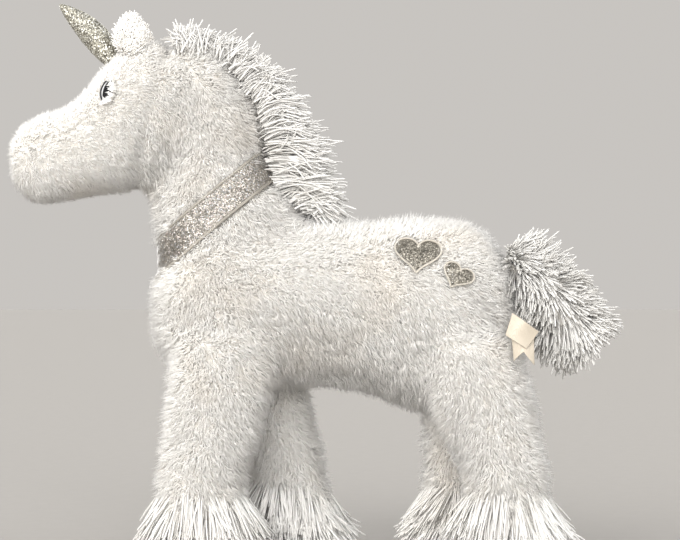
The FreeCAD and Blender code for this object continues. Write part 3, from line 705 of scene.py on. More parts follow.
def foot_yarn(name, seed):
    """A fetlock fringe: yarn from a band round the leg, outwards and down, over the sole's edge."""
    rng = np.random.default_rng(seed)
    count = 2500
    table = smooth_rows(np.array(LEG_SECTIONS[name]), 60)
    y, z = spot(table[:, 0], table[:, 1])
    depth, width = table[:, 2] * HEIGHT - PILE, table[:, 3] * HALF_WIDTH - PILE
    middle = leg_middle(name)[0]
    top = LO[2] + 0.165 * HEIGHT
    height = rng.uniform(LO[2] + 0.020 * HEIGHT, top, count)
    order = np.argsort(z)
    middle_y, half_y, half_x = (np.interp(height, z[order], row[order]) for row in (y, depth, width))
    angle = rng.uniform(0, 2 * np.pi, count)
    spoke = np.stack([np.cos(angle), np.sin(angle), np.zeros(count)], 1)
    root = np.stack([middle + half_x * spoke[:, 0], middle_y + half_y * spoke[:, 1], height], 1)
    bundle = waves(root, 0.008, seed + 1)
    lower = 1 - (height - LO[2]) / (top - LO[2])
    down = np.array((0, 0, -0.75)) * (1.15 - lower)[:, None]
    way = unit(spoke * (0.75 + 0.5 * lower)[:, None] + down + bundle * 0.30 + rng.normal(0, 0.08, (count, 3)))
    lengths = rng.uniform(0.024, 0.037, count) * (1 - 0.42 * lower)
    paths = yarn_paths(root, way, lengths, bundle, 14, 0.68, 0.30, 0.07, 0.1, rng)
    paths[:, :, 2] = np.maximum(paths[:, :, 2], LO[2] + 0.0012 + 0.004 * rng.random((count, 1)))
    paths[:, :, 0] = held_sideways(paths[:, :, 0], middle)
    return yarn_piece(f"{name}_foot_yarn", "foot", paths, bundle, 0.00090, rng)


# ---------------------------------------------------------------- trims

def collar_frame():
    """The collar's plane: its middle, the line up the neck's side, and the plane's normal."""
    front = np.array(spot(*COLLAR_FRONT))
    back = np.array(spot(*COLLAR_BACK))
    along = unit(back - front)
    middle = np.array((0, *(front + back) / 2))
    return middle, np.array((0, *along)), np.array((0, -along[1], along[0]))


def collar_place(points):
    """How far a point is across the collar's width, and whether it is on the neck at all."""
    middle, _, normal = collar_frame()
    offset = points - middle
    across = offset @ normal
    return across, (np.linalg.norm(offset - across[:, None] * normal, axis=1) < 0.08)


def collar(points):
    """A ribbon round the neck. In rows across its width, the neck's radius round the collar's
    middle is read from the padded skin as a function of the angle and kept to its first few waves;
    the ribbon stands just off that, with raised woven edges."""
    middle, along, normal = collar_frame()
    offset = points - middle
    across = offset @ normal
    ahead, side = offset @ along, points[:, 0]
    radius = np.hypot(ahead, side)
    turn = np.arctan2(side, ahead)
    grid = np.linspace(-np.pi, np.pi, 220, endpoint=False)
    rows = np.linspace(-RIBBON_HALF, RIBBON_HALF, 13)
    loops = []
    for row in rows:
        near = (np.abs(across - row) < 0.004) & (radius < 0.09)
        order = np.argsort(turn[near])
        angles = turn[near][order]
        values = radius[near][order]
        reach = np.interp(grid, np.r_[angles - 2 * np.pi, angles, angles + 2 * np.pi], np.tile(values, 3))
        spectrum = np.fft.rfft(reach)
        spectrum[7:] = 0
        loops.append(np.fft.irfft(spectrum, len(grid)))
    reach = np.array(loops) + RIBBON_LIFT
    ripple = 0.0004 * np.sin(9 * grid)[None] * np.cos(np.linspace(0, np.pi, len(rows)))[:, None]
    reach = reach + ripple
    spoke = along * np.cos(grid)[:, None] + np.array((1.0, 0, 0)) * np.sin(grid)[:, None]
    face = middle + reach[:, :, None] * spoke + rows[:, None, None] * normal
    count = len(grid)
    ribbon = make_mesh("collar_ribbon", face.reshape(-1, 3), grid_quads(len(rows), count))
    with_modifier(ribbon, "SOLIDIFY", thickness=0.0012, offset=0)
    edges = []
    for number, row in (("lower", 0), ("upper", len(rows) - 1)):
        loop = face[row] + spoke * 0.0006
        ahead_way = unit(np.roll(loop, -1, 0) - np.roll(loop, 1, 0))
        out = np.cross(ahead_way, normal)
        angle = np.linspace(0, 2 * np.pi, 8, endpoint=False)
        rings = (loop[:, None] + 0.0007 * out[:, None] * np.cos(angle)[:, None]
                 + 0.0012 * normal * np.sin(angle)[:, None])
        flat = rings.reshape(-1, 3)
        faces = outward(flat, grid_quads(count, len(angle), round_rows=True), NO_TRIS)
        edges.append(make_mesh(f"collar_{number}_edge", flat, *faces))
    return ribbon, edges


def side_surface(points, node, side, spread):
    """The flank near a trim as x = a cubic in Y and Z, fitted by least squares to the skin there."""
    low, high = corners(node)
    middle = (low + high)[1:] / 2
    close = (np.linalg.norm(points[:, 1:] - middle, axis=1) < spread) & (points[:, 0] * side > 0.012)
    powers = [(i, j) for i in range(4) for j in range(4 - i)]

    def terms(yz):
        scaled = (yz - middle) / spread
        return np.stack([scaled[..., 0] ** i * scaled[..., 1] ** j for i, j in powers], -1)

    factors, *_ = np.linalg.lstsq(terms(points[close, 1:]), np.abs(points[close, 0]), rcond=None)
    return lambda yz: side * (terms(yz) @ factors)


def patch(name, outline, surface, side, levels):
    """A thin closed patch: rings are the outline drawn in to a share of its size about its middle,
    each lifted off the fitted flank by its own height."""
    middle = outline.mean(0)
    rings = []
    for share, lift in levels:
        flat = middle + (outline - middle) * share
        rings.append(np.concatenate([(surface(flat) + side * lift)[:, None], flat], 1))
    return make_mesh(name, *closed_tube(np.array(rings)))


PUFFED = [(0.3, 0.0), (0.7, 0.0), (1.0, 0.0002), (1.0, 0.0011), (0.93, 0.0017), (0.8, 0.0021), (0.6, 0.0024),
          (0.35, 0.0026), (0.12, 0.0026)]


def lifted(levels, amount):
    """The same rings, further off the flank."""
    return [(share, lift + amount) for share, lift in levels]


def satin_row(name, inner, outer, surface, side, lift, thickness):
    """Satin stitching: one short thread for each pair of points, arched from the inner line over
    to the outer line."""
    share = np.linspace(0, 1, 6)
    flat = inner[:, None] * (1 - share)[:, None] + outer[:, None] * share[:, None]
    arch = lift + 0.0009 * np.sin(np.pi * share)
    x = surface(flat) + side * arch
    paths = np.concatenate([x[..., None], flat], -1)
    radii = np.full(paths.shape[:2], thickness) * np.array((0.55, 1, 1, 1, 0.8, 0.0))
    tone = 0.5 + 0.35 * np.sin(np.arange(len(inner)) * 2.4)
    return strand_piece(name, paths, radii, 4, tone)


def resampled(outline, step):
    """A closed outline with points at equal distances along it."""
    closed = np.vstack([outline, outline[:1]])
    run = np.r_[0, np.cumsum(np.linalg.norm(np.diff(closed, axis=0), axis=1))]
    places = np.linspace(0, run[-1], int(run[-1] / step), endpoint=False)
    return np.stack([np.interp(places, run, closed[:, k]) for k in range(2)], 1)


def grown(outline, amount):
    """An outline moved outwards along its own normals."""
    way = unit(np.roll(outline, -1, 0) - np.roll(outline, 1, 0))
    normal = np.stack([way[:, 1], -way[:, 0]], 1)
    area = (outline[:, 0] * np.roll(outline[:, 1], -1) - np.roll(outline[:, 0], -1) * outline[:, 1]).sum()
    return outline + normal * amount * np.sign(area)


def uncovered(outline, amount, share):
    """The part of a patch where no pile grows: its outline moved out by an amount, and cut level
    above its lower point, where the pile closes over it."""
    moved = grown(outline, amount)
    level = moved[:, 1].min() + share * np.ptp(moved[:, 1])
    return np.stack([moved[:, 0], np.maximum(moved[:, 1], level)], 1)


def heart_outline(node, turn):
    """The heart curve (16 sin^3 t, 13 cos t - 5 cos 2t - 2 cos 3t - cos 4t), scaled to its CAD
    node's box and turned."""
    low, high = corners(node)
    t = np.linspace(0, 2 * np.pi, 240, endpoint=False)
    across = np.sin(t) ** 3
    up = (13 * np.cos(t) - 5 * np.cos(2 * t) - 2 * np.cos(3 * t) - np.cos(4 * t) + 2.5) / 14.5
    c, s = np.cos(turn), np.sin(turn)
    shape = np.stack([c * across - s * up * 0.78, s * across + c * up * 0.78], 1)
    shape = (shape - shape.min(0)) / (shape.max(0) - shape.min(0))
    return (low + high)[1:] / 2 + (shape - 0.5) * (high - low)[1:] * HEART_FIT


def hearts(points):
    """Two glitter hearts on the left rump, puffed a little, each with a satin-stitched border."""
    made = {}
    for node, outline in HEARTS.items():
        surface = side_surface(points, node, 1, 0.034)
        made[node] = patch(f"{node}_patch", outline, surface, 1, lifted(PUFFED, HEART_LIFT))
        line = resampled(outline, 0.00052)
        made[f"{node}_border"] = satin_row(f"{node}_stitching", grown(line, -0.0003), grown(line, 0.0014),
                                           surface, 1, 0.0069, 0.00034)
    return made


def eye_line(node, shares, rows, shift=0.0):
    """A smooth line through points given as shares of the eye's box, moved forwards by a shift."""
    low, high = corners(node)
    return smooth_rows(low[1:] + np.array(shares) * (high - low)[1:] - np.array((shift, 0)), rows)


def eye_clearing(node):
    """The outline round an eye where no pile grows."""
    return np.vstack([eye_line(node, EYE_FRONT, 30, 0.0012), eye_line(node, EYE_BACK, 30, 0.0010)[::-1]])


def eye(points, hand, side):
    """One embroidered eye: a white leaf, a dark pupil on it and a dark line round its front and
    back, all of satin thread, with tufts of pile that lie over its back edge."""
    node = f"eye_{hand}"
    surface = side_surface(points, node, side, 0.022)
    front, back = (eye_line(node, shares, 60) for shares in (EYE_FRONT, EYE_BACK))
    leaf = resampled(np.vstack([front, back[::-1]]), 0.0004)
    white = patch(f"{node}_white", leaf, surface, side, lifted(PUFFED, 0.0034))
    angle = np.linspace(0, 2 * np.pi, 60, endpoint=False)
    centre = in_box(node, 0, *EYE_PUPIL)[1:]
    oval = centre + np.stack([0.0038 * np.cos(angle) + 0.0012 * np.sin(angle), 0.0078 * np.sin(angle)], 1)
    pupil = patch(f"{node}_pupil", oval, surface, side, lifted(PUFFED, 0.0046))
    lines = []
    for label, line, thickness in (("front", front, 0.00075), ("back", back, 0.00045)):
        way = unit(np.gradient(line, axis=0))
        normal = np.stack([way[:, 1], -way[:, 0]], 1)
        lines.append(satin_row(f"{node}_{label}_line", line - normal * thickness, line + normal * thickness,
                               surface, side, 0.0062, 0.00030))
    rng = np.random.default_rng(61)
    count = 110
    flat = eye_line(node, EYE_BACK, count)[::-1] + rng.normal(0, 0.0009, (count, 2)) + np.array((0.0014, 0))
    flat_tip = flat + np.stack([-rng.uniform(0.0018, 0.0062, count), rng.normal(0.0004, 0.0016, count)], 1)
    foot = np.concatenate([(surface(flat) + side * 0.003)[:, None], flat], 1)
    tip = np.concatenate([(surface(flat_tip) + side * 0.0088)[:, None], flat_tip], 1)
    radii = rng.uniform(0.0005, 0.0008, (count, 1)) * np.array((1.0, 0.9, 0.0))
    arch = (foot + tip) / 2 + np.array((side * 0.0018, 0, 0))
    tone = np.clip(rng.normal(0.7, 0.15, count), 0, 1)
    fringe = strand_piece(f"{node}_fringe", np.stack([foot, arch, tip], 1), radii, 3, tone)
    return white, pupil, lines, fringe


def horn():
    """The horn: a leaf-shaped padded cone. The ring at share t has radius R * profile(t), is pressed
    a little flat, wrinkles at the foot, and dips in a groove along the seam."""
    root = in_box("horn_cover", 0.5, 0.96, -0.08)
    tip = in_box("horn_cover", 0.5, 0.01, 0.995)
    rows, sides = 90, 72
    t = np.linspace(0, 1, rows)
    angle = np.linspace(0, 2 * np.pi, sides, endpoint=False)
    profile = np.interp(t, [0, 0.06, 0.16, 0.32, 0.5, 0.7, 0.86, 0.95, 1.0],
                        [0.74, 0.86, 1.0, 1.16, 1.14, 0.90, 0.56, 0.30, 0.08])
    low, high = corners("horn_cover")
    radius = (high[0] - low[0]) / 2 * profile[:, None]
    past_seam = np.angle(np.exp(1j * (angle - 1.15)))
    seam = np.exp(-(past_seam / 0.13) ** 2)
    radius = radius * (1 - 0.17 * seam[None] * (1 - 0.4 * t[:, None]))
    fold = 0.06 * np.exp(-((t - 0.10) / 0.05) ** 2)[:, None] * np.cos(2 * angle + 0.6)[None]
    pucker = 0.018 * np.sin(34 * t)[:, None] * np.exp(-(past_seam / 0.5) ** 2)[None]
    radius = radius * (1 + fold + pucker)
    ahead = unit(tip - root)
    across = np.array((1.0, 0, 0))
    rise = np.cross(ahead, across)
    bow = 0.0028 * np.sin(np.pi * t)[:, None] * rise
    centre = root + (tip - root) * t[:, None] + bow
    rings = (centre[:, None] + radius[:, :, None] * (across * 0.86 * np.cos(angle)[:, None]
                                                   + rise * np.sin(angle)[:, None]))
    return make_mesh("horn_cover_soft", *closed_tube(rings))


def ear(hand, side):
    """An ear: a cupped leaf whose half width at share t of its length is the box's half width times
    sin(pi t^0.7), with its lining in the hollow and short pile round its back and rim."""
    node = f"ear_{hand}"
    low, high = corners(node)
    size = high - low
    rows, sides = 26, 24
    t = np.linspace(0.02, 0.98, rows)
    angle = np.linspace(0, 2 * np.pi, sides, endpoint=False)
    half = size[1] / 2 * np.sin(np.pi * t ** 0.75) ** 0.8
    thick = 0.0022 * np.sin(np.pi * t) ** 0.4
    y = (low[1] + high[1]) / 2 + half[:, None] * np.cos(angle)
    z = low[2] + size[2] * t[:, None] * np.ones(sides) * 0.92
    cup = 0.0035 * np.cos(angle)[None] ** 2 * np.sin(np.pi * t)[:, None]
    x = (low[0] + high[0]) / 2 + side * (cup + thick[:, None] * np.sin(angle) - 0.001)
    leaf = make_mesh(f"{node}_leaf", *closed_tube(np.stack([x, y, z], -1)))
    points, normals, tris = read_mesh(leaf)
    weight = np.where(normals[:, 0] * side > 0.35, 0.8, 1.0)
    rng = np.random.default_rng(51 if side > 0 else 52)
    roots, facing = scattered(points, normals, tris, weight, 4200, rng)
    direction = unit(facing * 0.75 + np.array((0, 0.15, 0.85)) + rng.normal(0, 0.28, roots.shape))
    lengths = rng.uniform(0.0045, 0.0085, len(roots))
    paths = tuft_paths(roots - facing * 0.0006, direction, lengths, rng.normal(0, 0.12, roots.shape), 2)
    radii = rng.uniform(0.0004, 0.0007, (len(roots), 1)) * np.array((1, 0.8, 0.0))
    fur = strand_piece(f"{node}_pile", paths, radii, 3, np.clip(rng.normal(0.5, 0.2, len(roots)), 0, 1))
    share = np.linspace(0, 2 * np.pi, 48, endpoint=False)
    rim = np.stack([np.full(48, 0.0), (low[1] + high[1]) / 2 + size[1] * 0.27 * np.cos(share),
                    low[2] + size[2] * (0.42 + 0.30 * np.sin(share))], 1)
    level = (low[0] + high[0]) / 2 + side * 0.0022
    rings = []
    for grow, lift in ((0.3, 0), (1.0, 0), (1.0, 0.0006), (0.8, 0.0010), (0.3, 0.0011)):
        ring = rim.mean(0) + (rim - rim.mean(0)) * grow
        ring[:, 0] = level + side * lift
        rings.append(ring)
    lining = make_mesh(f"{node}_lining_soft", *closed_tube(np.array(rings)))
    return leaf, fur, lining


def label():
    """The folded satin label: each ply is a grid bent by slow waves, the front one cut square and
    the back one cut to two points."""
    low, high = corners("satin_label")
    size = high - low
    level = low[0] - 0.004
    plies = []
    for name, outline, lift, notch in (("front", LABEL_FRONT, 0.0014, 0.0), ("back", LABEL_BACK, 0.0, 0.34)):
        a, b, c, d = (low[1:] + np.array(share) * size[1:] for share in outline)
        u = np.linspace(0, 1, 33)[:, None, None]
        v = np.linspace(0, 1, 41)[None, :, None]
        reach = v * (1 - notch * (1 - np.abs(2 * u - 1)))
        flat = a * (1 - u) * (1 - reach) + b * u * (1 - reach) + d * (1 - u) * reach + c * u * reach
        bend = 0.0012 * np.sin(5.0 * u + 2.5 * v) + 0.0022 * v * np.sin(2.2 * u + 0.7)
        x = level + lift * (0.3 + v * np.ones_like(u)) + bend + 0.0032 * np.sin(np.pi * u)
        grid = np.concatenate([x, flat], -1)
        rows, cols = grid.shape[:2]
        quads = grid_quads(rows, cols, round_sides=False)[:, TURNED_OVER]
        ply = make_mesh(f"label_{name}_ply", grid.reshape(-1, 3), quads)
        plies.append(with_modifier(ply, "SOLIDIFY", thickness=0.0005, offset=0))
    return plies


# ---------------------------------------------------------------- finishes

def finish_nodes(name, **constants):
    """A material with a Principled shader whose plain numbers sit on its own sockets."""
    material = bpy.data.materials.new(name)
    material.use_nodes = True
    nodes = material.node_tree.nodes
    shader = nodes["Principled BSDF"]
    for key, value in constants.items():
        shader.inputs[key.replace("_", " ")].default_value = value
    coords = nodes.new("ShaderNodeTexCoord")
    return material, nodes, material.node_tree.links, shader, coords


def ramp(nodes, stops):
    """A colour ramp with the given places and colours."""
    node = nodes.new("ShaderNodeValToRGB")
    elements = node.color_ramp.elements
    while len(elements) < len(stops):
        elements.new(0.5)
    for element, (place, colour) in zip(elements, stops):
        element.position = place
        element.color = (*colour, 1)
    return node


def noise(nodes, links, coords, scale, detail=3.0, roughness=0.55):
    """Noise on the object's own coordinates."""
    node = nodes.new("ShaderNodeTexNoise")
    node.inputs["Scale"].default_value = scale
    node.inputs["Detail"].default_value = detail
    node.inputs["Roughness"].default_value = roughness
    links.new(coords.outputs["Object"], node.inputs["Vector"])
    return node


def mixed(nodes, links, factor, first, second, mode="MIX"):
    """Mixes two colours, each a node output or a plain colour."""
    node = nodes.new("ShaderNodeMix")
    node.data_type = "RGBA"
    node.blend_type = mode
    for socket, value in ((node.inputs[0], factor), (node.inputs[6], first), (node.inputs[7], second)):
        if isinstance(value, bpy.types.NodeSocket):
            links.new(value, socket)
        elif isinstance(value, tuple):
            socket.default_value = (*value, 1)
        else:
            socket.default_value = value
    return node.outputs[2]


def bumped(nodes, links, height, strength, distance, shader):
    """Bump from a height output."""
    node = nodes.new("ShaderNodeBump")
    node.inputs["Strength"].default_value = strength
    node.inputs["Distance"].default_value = distance
    links.new(height, node.inputs["Height"])
    links.new(node.outputs["Normal"], shader.inputs["Normal"])


def thread_finish(name, shade, light, stain, sheen=0.35, roughness=0.85):
    """Pile, yarn or thread: darker at the foot as painted shade deep in the pile, lighter at the tip, each
    thread a little different, with slow stains over the whole piece."""
    material, nodes, links, shader, coords = finish_nodes(
        name, Roughness=roughness, Sheen_Weight=sheen, Sheen_Roughness=0.5)
    along = nodes.new("ShaderNodeAttribute")
    along.attribute_name = "along"
    tone = nodes.new("ShaderNodeAttribute")
    tone.attribute_name = "tone"
    between = tuple(0.35 * low + 0.65 * high for low, high in zip(shade, light))
    # Painted shade: the colour darkens from the tip down to the thread's foot, where shade falls deep in the
    # pile.
    depth = ramp(nodes, [(0.0, shade), (0.45, between), (1.0, light)])
    links.new(along.outputs["Fac"], depth.inputs["Fac"])
    variety = ramp(nodes, [(0.0, (0.86, 0.85, 0.83)), (0.5, (0.96, 0.957, 0.95)), (1.0, (1.0, 1.0, 1.0))])
    links.new(tone.outputs["Fac"], variety.inputs["Fac"])
    toned = mixed(nodes, links, 1.0, depth.outputs["Color"], variety.outputs["Color"], "MULTIPLY")
    cloud = noise(nodes, links, coords, 14.0)
    spread = ramp(nodes, [(0.50, (0.0, 0.0, 0.0)), (0.72, (0.55, 0.55, 0.55))])
    links.new(cloud.outputs["Fac"], spread.inputs["Fac"])
    colour = mixed(nodes, links, spread.outputs["Color"], toned, stain, "MULTIPLY")
    links.new(colour, shader.inputs["Base Color"])
    return material


def glitter_finish(name, base, glints, size, metallic=0.75):
    """Glitter fabric: every flake is a cell with its own colour and its own tilt, so each catches
    the light separately."""
    material, nodes, links, shader, coords = finish_nodes(name, Metallic=metallic, Roughness=0.32,
                                                          Coat_Weight=0.3, Coat_Roughness=0.2)
    cells = nodes.new("ShaderNodeTexVoronoi")
    cells.inputs["Scale"].default_value = 1 / size
    links.new(coords.outputs["Object"], cells.inputs["Vector"])
    split = nodes.new("ShaderNodeSeparateColor")
    links.new(cells.outputs["Color"], split.inputs["Color"])
    colours = ramp(nodes, glints)
    links.new(split.outputs["Red"], colours.inputs["Fac"])
    dust = noise(nodes, links, coords, 90.0)
    cloud = ramp(nodes, [(0.35, (0.80, 0.80, 0.80)), (0.65, (1.0, 1.0, 1.0))])
    links.new(dust.outputs["Fac"], cloud.inputs["Fac"])
    colour = mixed(nodes, links, 0.72, base, colours.outputs["Color"])
    colour = mixed(nodes, links, 1.0, colour, cloud.outputs["Color"], "MULTIPLY")
    links.new(colour, shader.inputs["Base Color"])
    centred = nodes.new("ShaderNodeVectorMath")
    centred.operation = "MULTIPLY_ADD"
    links.new(cells.outputs["Color"], centred.inputs[0])
    centred.inputs[1].default_value = (1.1, 1.1, 1.1)
    centred.inputs[2].default_value = (-0.55, -0.55, -0.55)
    surface = nodes.new("ShaderNodeNewGeometry")
    tilted = nodes.new("ShaderNodeVectorMath")
    tilted.operation = "ADD"
    links.new(surface.outputs["Normal"], tilted.inputs[0])
    links.new(centred.outputs["Vector"], tilted.inputs[1])
    level = nodes.new("ShaderNodeVectorMath")
    level.operation = "NORMALIZE"
    links.new(tilted.outputs["Vector"], level.inputs[0])
    links.new(level.outputs["Vector"], shader.inputs["Normal"])
    return material


def cloth_finish(name, light, dark, weave, roughness=0.8, sheen=0.25, **more):
    """Plain cloth: a fine crossed weave in colour and bump, with a slow mottle."""
    material, nodes, links, shader, coords = finish_nodes(
        name, Roughness=roughness, Sheen_Weight=sheen, **more)
    grain = nodes.new("ShaderNodeTexWave")
    grain.inputs["Scale"].default_value = weave
    grain.inputs["Distortion"].default_value = 1.2
    grain.inputs["Detail"].default_value = 2.0
    links.new(coords.outputs["Object"], grain.inputs["Vector"])
    mottle = noise(nodes, links, coords, 60.0)
    cloud = ramp(nodes, [(0.35, dark), (0.7, light)])
    links.new(mottle.outputs["Fac"], cloud.inputs["Fac"])
    line = ramp(nodes, [(0.0, (0.90, 0.90, 0.90)), (1.0, (1.0, 1.0, 1.0))])
    links.new(grain.outputs["Fac"], line.inputs["Fac"])
    colour = mixed(nodes, links, 1.0, cloud.outputs["Color"], line.outputs["Color"], "MULTIPLY")
    links.new(colour, shader.inputs["Base Color"])
    bumped(nodes, links, grain.outputs["Fac"], 0.4, 0.0003, shader)
    return material


def dress(piece, material):
    """Gives a piece its material."""
    piece.data.materials.clear()
    piece.data.materials.append(material)
    return piece


# ---------------------------------------------------------------- making

skin = padded_body()
skin_points, skin_normals, skin_tris = read_mesh(skin)
HEARTS = {node: heart_outline(node, turn) for node, turn in
          (("heart_large", np.radians(-6)), ("heart_small", np.radians(-30)))}
CLEARINGS = [(uncovered(HEARTS["heart_large"], 0.0006, 0.16), 1),
             (uncovered(HEARTS["heart_small"], -0.0016, 0.22), 1),
             (eye_clearing("eye_left"), 1), (eye_clearing("eye_right"), -1)]

top_y, top_z = spot(*SEAM_TOP)
foot_y, foot_z = spot(*SEAM_FOOT)
down_seam = unit(np.array((foot_y - top_y, foot_z - top_z)))
seam_normal = Vector((0, down_seam[1], -down_seam[0]))
seam_point = Vector((0, top_y, top_z))
behind_point = seam_point + seam_normal * BLEND_BEHIND
UP = Vector((0, 0, 1))
cut_point = Vector((0, 0, CUT_HEIGHT))

torso_skin = cut_out(skin, "torso_skin", [(cut_point, UP), (behind_point, -seam_normal)])
head_skin = cut_out(skin, "head_skin", [(behind_point, seam_normal)])
leg_skins = {}
for leg_name in LEGS:
    sideways = Vector((np.sign(leg_middle(leg_name)[0]), 0, 0))
    lengthways = Vector((0, -1 if leg_name.startswith("front") else 1, 0))
    leg_skins[leg_name] = cut_out(skin, f"{leg_name}_leg_skin",
                                  [(cut_point, -UP), (Vector((0, 0, 0)), sideways),
                                   (Vector((0, LEG_GAP, 0)), lengthways)])
fur = pile(skin_points, skin_normals, skin_tris)
bpy.data.objects.remove(skin)
mane_yarn = mane()
tail_core, tail_yarn = tail()
foot_yarns = {leg_name: foot_yarn(leg_name, 40 + 2 * number) for number, leg_name in enumerate(LEGS)}
ribbon, ribbon_edges = collar(skin_points)
heart_pieces = hearts(skin_points)
eyes = {hand: eye(skin_points, hand, side) for hand, side in (("left", 1), ("right", -1))}
horn_piece = horn()
ears = {hand: ear(hand, side) for hand, side in (("left", 1), ("right", -1))}
label_plies = label()

# The first colour of each thread finish is painted shade at the thread's foot; the second is the colour at its
# tip.
pile_finish = thread_finish("white_pile", (0.92, 0.897, 0.855), (0.965, 0.95, 0.924), (0.985, 0.935, 0.875))
yarn_finish = thread_finish("white_yarn", (0.74, 0.728, 0.706), (0.80, 0.79, 0.772), (0.98, 0.955, 0.92))
# The tail's yarn is the same white yarn as the mane, made darker here as painted shade over the whole tail.
tail_painted_shade_finish = thread_finish("tail_painted_shade_yarn", (0.72, 0.71, 0.688), (0.74, 0.73, 0.71), (0.97, 0.95, 0.92))
backing_finish = cloth_finish("pile_backing", (0.93, 0.90, 0.86), (0.86, 0.82, 0.76), 900)
cream_thread = thread_finish("cream_satin_thread", (0.50, 0.455, 0.385), (0.64, 0.60, 0.53),
                             (0.98, 0.95, 0.9), sheen=0.5, roughness=0.4)
black_thread = thread_finish("black_satin_thread", (0.012, 0.012, 0.014), (0.03, 0.03, 0.034),
                             (0.9, 0.9, 0.9), sheen=0.2, roughness=0.35)
white_thread = cloth_finish("white_eye_thread", (0.90, 0.90, 0.90), (0.80, 0.80, 0.81), 2200, 0.4)
dark_thread = cloth_finish("dark_eye_thread", (0.010, 0.010, 0.012), (0.005, 0.005, 0.006), 2200, 0.6, 0.0,
                           Specular_IOR_Level=0.25)
ribbon_glitter = glitter_finish(
    "silver_ribbon_glitter", (0.34, 0.315, 0.275),
    [(0.0, (0.16, 0.148, 0.125)), (0.4, (0.30, 0.275, 0.235)), (0.70, (0.42, 0.385, 0.33)),
     (0.80, (0.36, 0.41, 0.46)), (0.89, (0.50, 0.40, 0.38)), (1.0, (0.88, 0.85, 0.78))], 0.0007)
horn_glitter = glitter_finish(
    "champagne_horn_glitter", (0.25, 0.235, 0.20),
    [(0.0, (0.13, 0.12, 0.097)), (0.35, (0.30, 0.28, 0.225)), (0.6, (0.47, 0.45, 0.355)),
     (0.8, (0.58, 0.565, 0.49)), (1.0, (1.0, 1.0, 0.94))], 0.0009, 0.5)
heart_glitter = glitter_finish(
    "grey_heart_glitter", (0.18, 0.163, 0.135),
    [(0.0, (0.07, 0.063, 0.05)), (0.4, (0.16, 0.145, 0.118)), (0.75, (0.26, 0.24, 0.195)),
     (1.0, (0.66, 0.62, 0.54))], 0.0007, 0.6)
satin = cloth_finish("cream_label_satin", (0.60, 0.53, 0.43), (0.52, 0.455, 0.36), 1600, 0.38, 0.2,
                     Anisotropic=0.5)
edge_satin = cloth_finish("silver_edge_satin", (0.36, 0.335, 0.29), (0.28, 0.26, 0.225), 1600, 0.36, 0.0,
                          Metallic=0.35)
ear_lining_finish = cloth_finish("ear_lining_plush", (0.60, 0.58, 0.55), (0.48, 0.46, 0.44), 700)
sole_finish = cloth_finish("sole_felt", (0.74, 0.71, 0.66), (0.62, 0.58, 0.52), 800)

dress(torso_skin, backing_finish)
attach(torso_skin, "torso")
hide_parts("body_panel_left", "body_panel_right", "belly_panel", "body_stuffing")
for piece in fur["torso"]:
    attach(dress(piece, pile_finish), "torso")
dress(head_skin, backing_finish)
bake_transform(head_skin)
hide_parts("head_panel_left", "head_panel_right", "brow_panel", "head_stuffing")
for piece in fur["head"]:
    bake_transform(dress(piece, pile_finish))
for leg_name in LEGS:
    body = f"{leg_name}_leg"
    dress(leg_skins[leg_name], backing_finish)
    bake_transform(leg_skins[leg_name])
    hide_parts(f"{leg_name}_leg_cover", f"{leg_name}_leg_stuffing")
    for piece in fur[leg_name]:
        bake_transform(dress(piece, pile_finish))
    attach(dress(foot_yarns[leg_name], yarn_finish), body)
    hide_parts(f"{leg_name}_cuff")
    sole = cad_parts[f"{leg_name}_sole"]
    sole.data.materials.clear()
    sole.data.materials.append(sole_finish)

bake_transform(dress(mane_yarn, yarn_finish))
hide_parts("mane")
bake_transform(dress(tail_core, backing_finish))
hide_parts("tail_stuffing")
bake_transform(dress(tail_yarn, tail_painted_shade_finish))
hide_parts("tail_cover")

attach(dress(ribbon, ribbon_glitter), "torso")
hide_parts("neck_ribbon")
for edge in ribbon_edges:
    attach(dress(edge, edge_satin), "torso")
for node in ("heart_large", "heart_small"):
    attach(dress(heart_pieces[node], heart_glitter), "torso")
    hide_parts(node)
    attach(dress(heart_pieces[f"{node}_border"], cream_thread), "torso")
    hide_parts(f"{node}_border")
for hand, (white, pupil, lines, fringe) in eyes.items():
    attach(dress(fringe, pile_finish), "head")
    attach(dress(white, white_thread), "head")
    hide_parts(f"eye_{hand}")
    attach(dress(pupil, dark_thread), "head")
    for line in lines:
        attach(dress(line, black_thread), "head")
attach(dress(horn_piece, horn_glitter), "horn")
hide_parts("horn_cover", "horn_stuffing")
for hand, (leaf, ear_fur, lining) in ears.items():
    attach(dress(leaf, backing_finish), f"ear_{hand}")
    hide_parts(f"ear_{hand}")
    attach(dress(ear_fur, pile_finish), f"ear_{hand}")
    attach(dress(lining, ear_lining_finish), f"ear_{hand}")
    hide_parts(f"ear_{hand}_lining")
for ply in label_plies:
    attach(dress(ply, satin), "label")
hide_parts("satin_label")


# ---------------------------------------------------------------- floor, light and camera

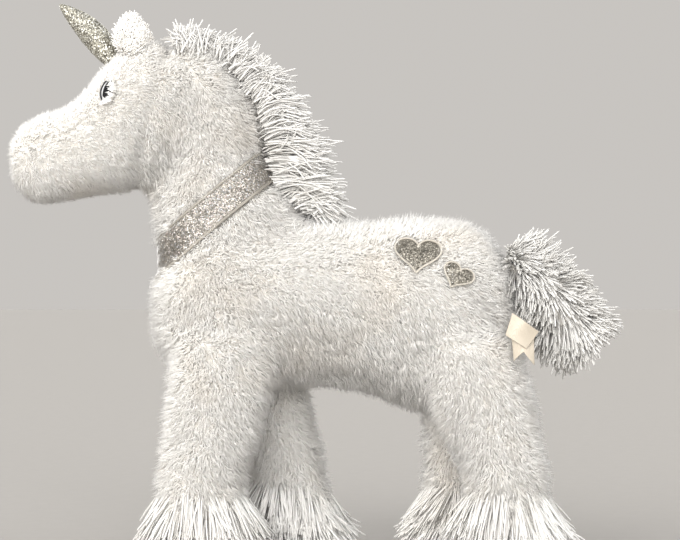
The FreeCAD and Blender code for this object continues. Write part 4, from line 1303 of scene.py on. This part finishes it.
def light(name, way, strength, angle, colour):
    """A broad soft lamp far away, shining from the given direction."""
    data = bpy.data.lights.new(name, "SUN")
    data.energy = strength
    data.angle = np.radians(angle)
    data.color = colour
    lamp = bpy.data.objects.new(name, data)
    lamp.rotation_euler = Vector(way).to_track_quat("Z", "Y").to_euler()
    SCENE.collection.objects.link(lamp)


side = np.linspace(-12, 12, 25)
grid_x, grid_y = np.meshgrid(side, side, indexing="ij")
floor_points = np.stack([grid_x.ravel(), grid_y.ravel(), np.full(grid_x.size, LO[2] - 0.0005)], 1)
floor = make_mesh("studio_floor", floor_points, grid_quads(25, 25, round_sides=False)[:, TURNED_OVER])
floor_finish = cloth_finish("pale_floor", (0.485, 0.466, 0.443), (0.475, 0.456, 0.433), 40, 1.0, 0.0,
                            Specular_IOR_Level=0.0)
floor.data.materials.append(floor_finish)
floor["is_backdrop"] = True

world = bpy.data.worlds.new("studio")
world.use_nodes = True
sky_nodes = world.node_tree.nodes
sky_links = world.node_tree.links
sky_way = sky_nodes.new("ShaderNodeTexCoord")
sky_split = sky_nodes.new("ShaderNodeSeparateXYZ")
sky_links.new(sky_way.outputs["Generated"], sky_split.inputs[0])
HORIZON = (0.578, 0.556, 0.530)
sky_ramp = ramp(sky_nodes, [(0.0, HORIZON), (0.18, HORIZON), (0.65, (0.45, 0.445, 0.435))])
sky_links.new(sky_split.outputs["Z"], sky_ramp.inputs["Fac"])
sky_links.new(sky_ramp.outputs["Color"], sky_nodes["Background"].inputs["Color"])
sky_nodes["Background"].inputs["Strength"].default_value = 1.0
SCENE.world = world
SCENE.view_settings.view_transform = "Standard"

centre_y, centre_z = spot(0.5494, 0.5355)
light("key", (1.0, -0.38, 0.06), 5.7, 85, (1.0, 0.985, 0.965))
light("fill", (1.0, 0.35, 0.05), 2.9, 130, (0.975, 0.985, 1.0))
light("back", (-1.0, 0.1, 0.0), 3.0, 80, (1.0, 1.0, 1.0))

camera_data = bpy.data.cameras.new("camera")
camera_data.sensor_width = 36
camera_data.lens = 36 * CAMERA_DISTANCE / (1.1177 * LENGTH)
camera = bpy.data.objects.new("camera", camera_data)
camera.location = (CAMERA_DISTANCE + 0.02, centre_y, centre_z)
camera.rotation_euler = (np.pi / 2, 0, np.pi / 2)
SCENE.collection.objects.link(camera)
SCENE.camera = camera
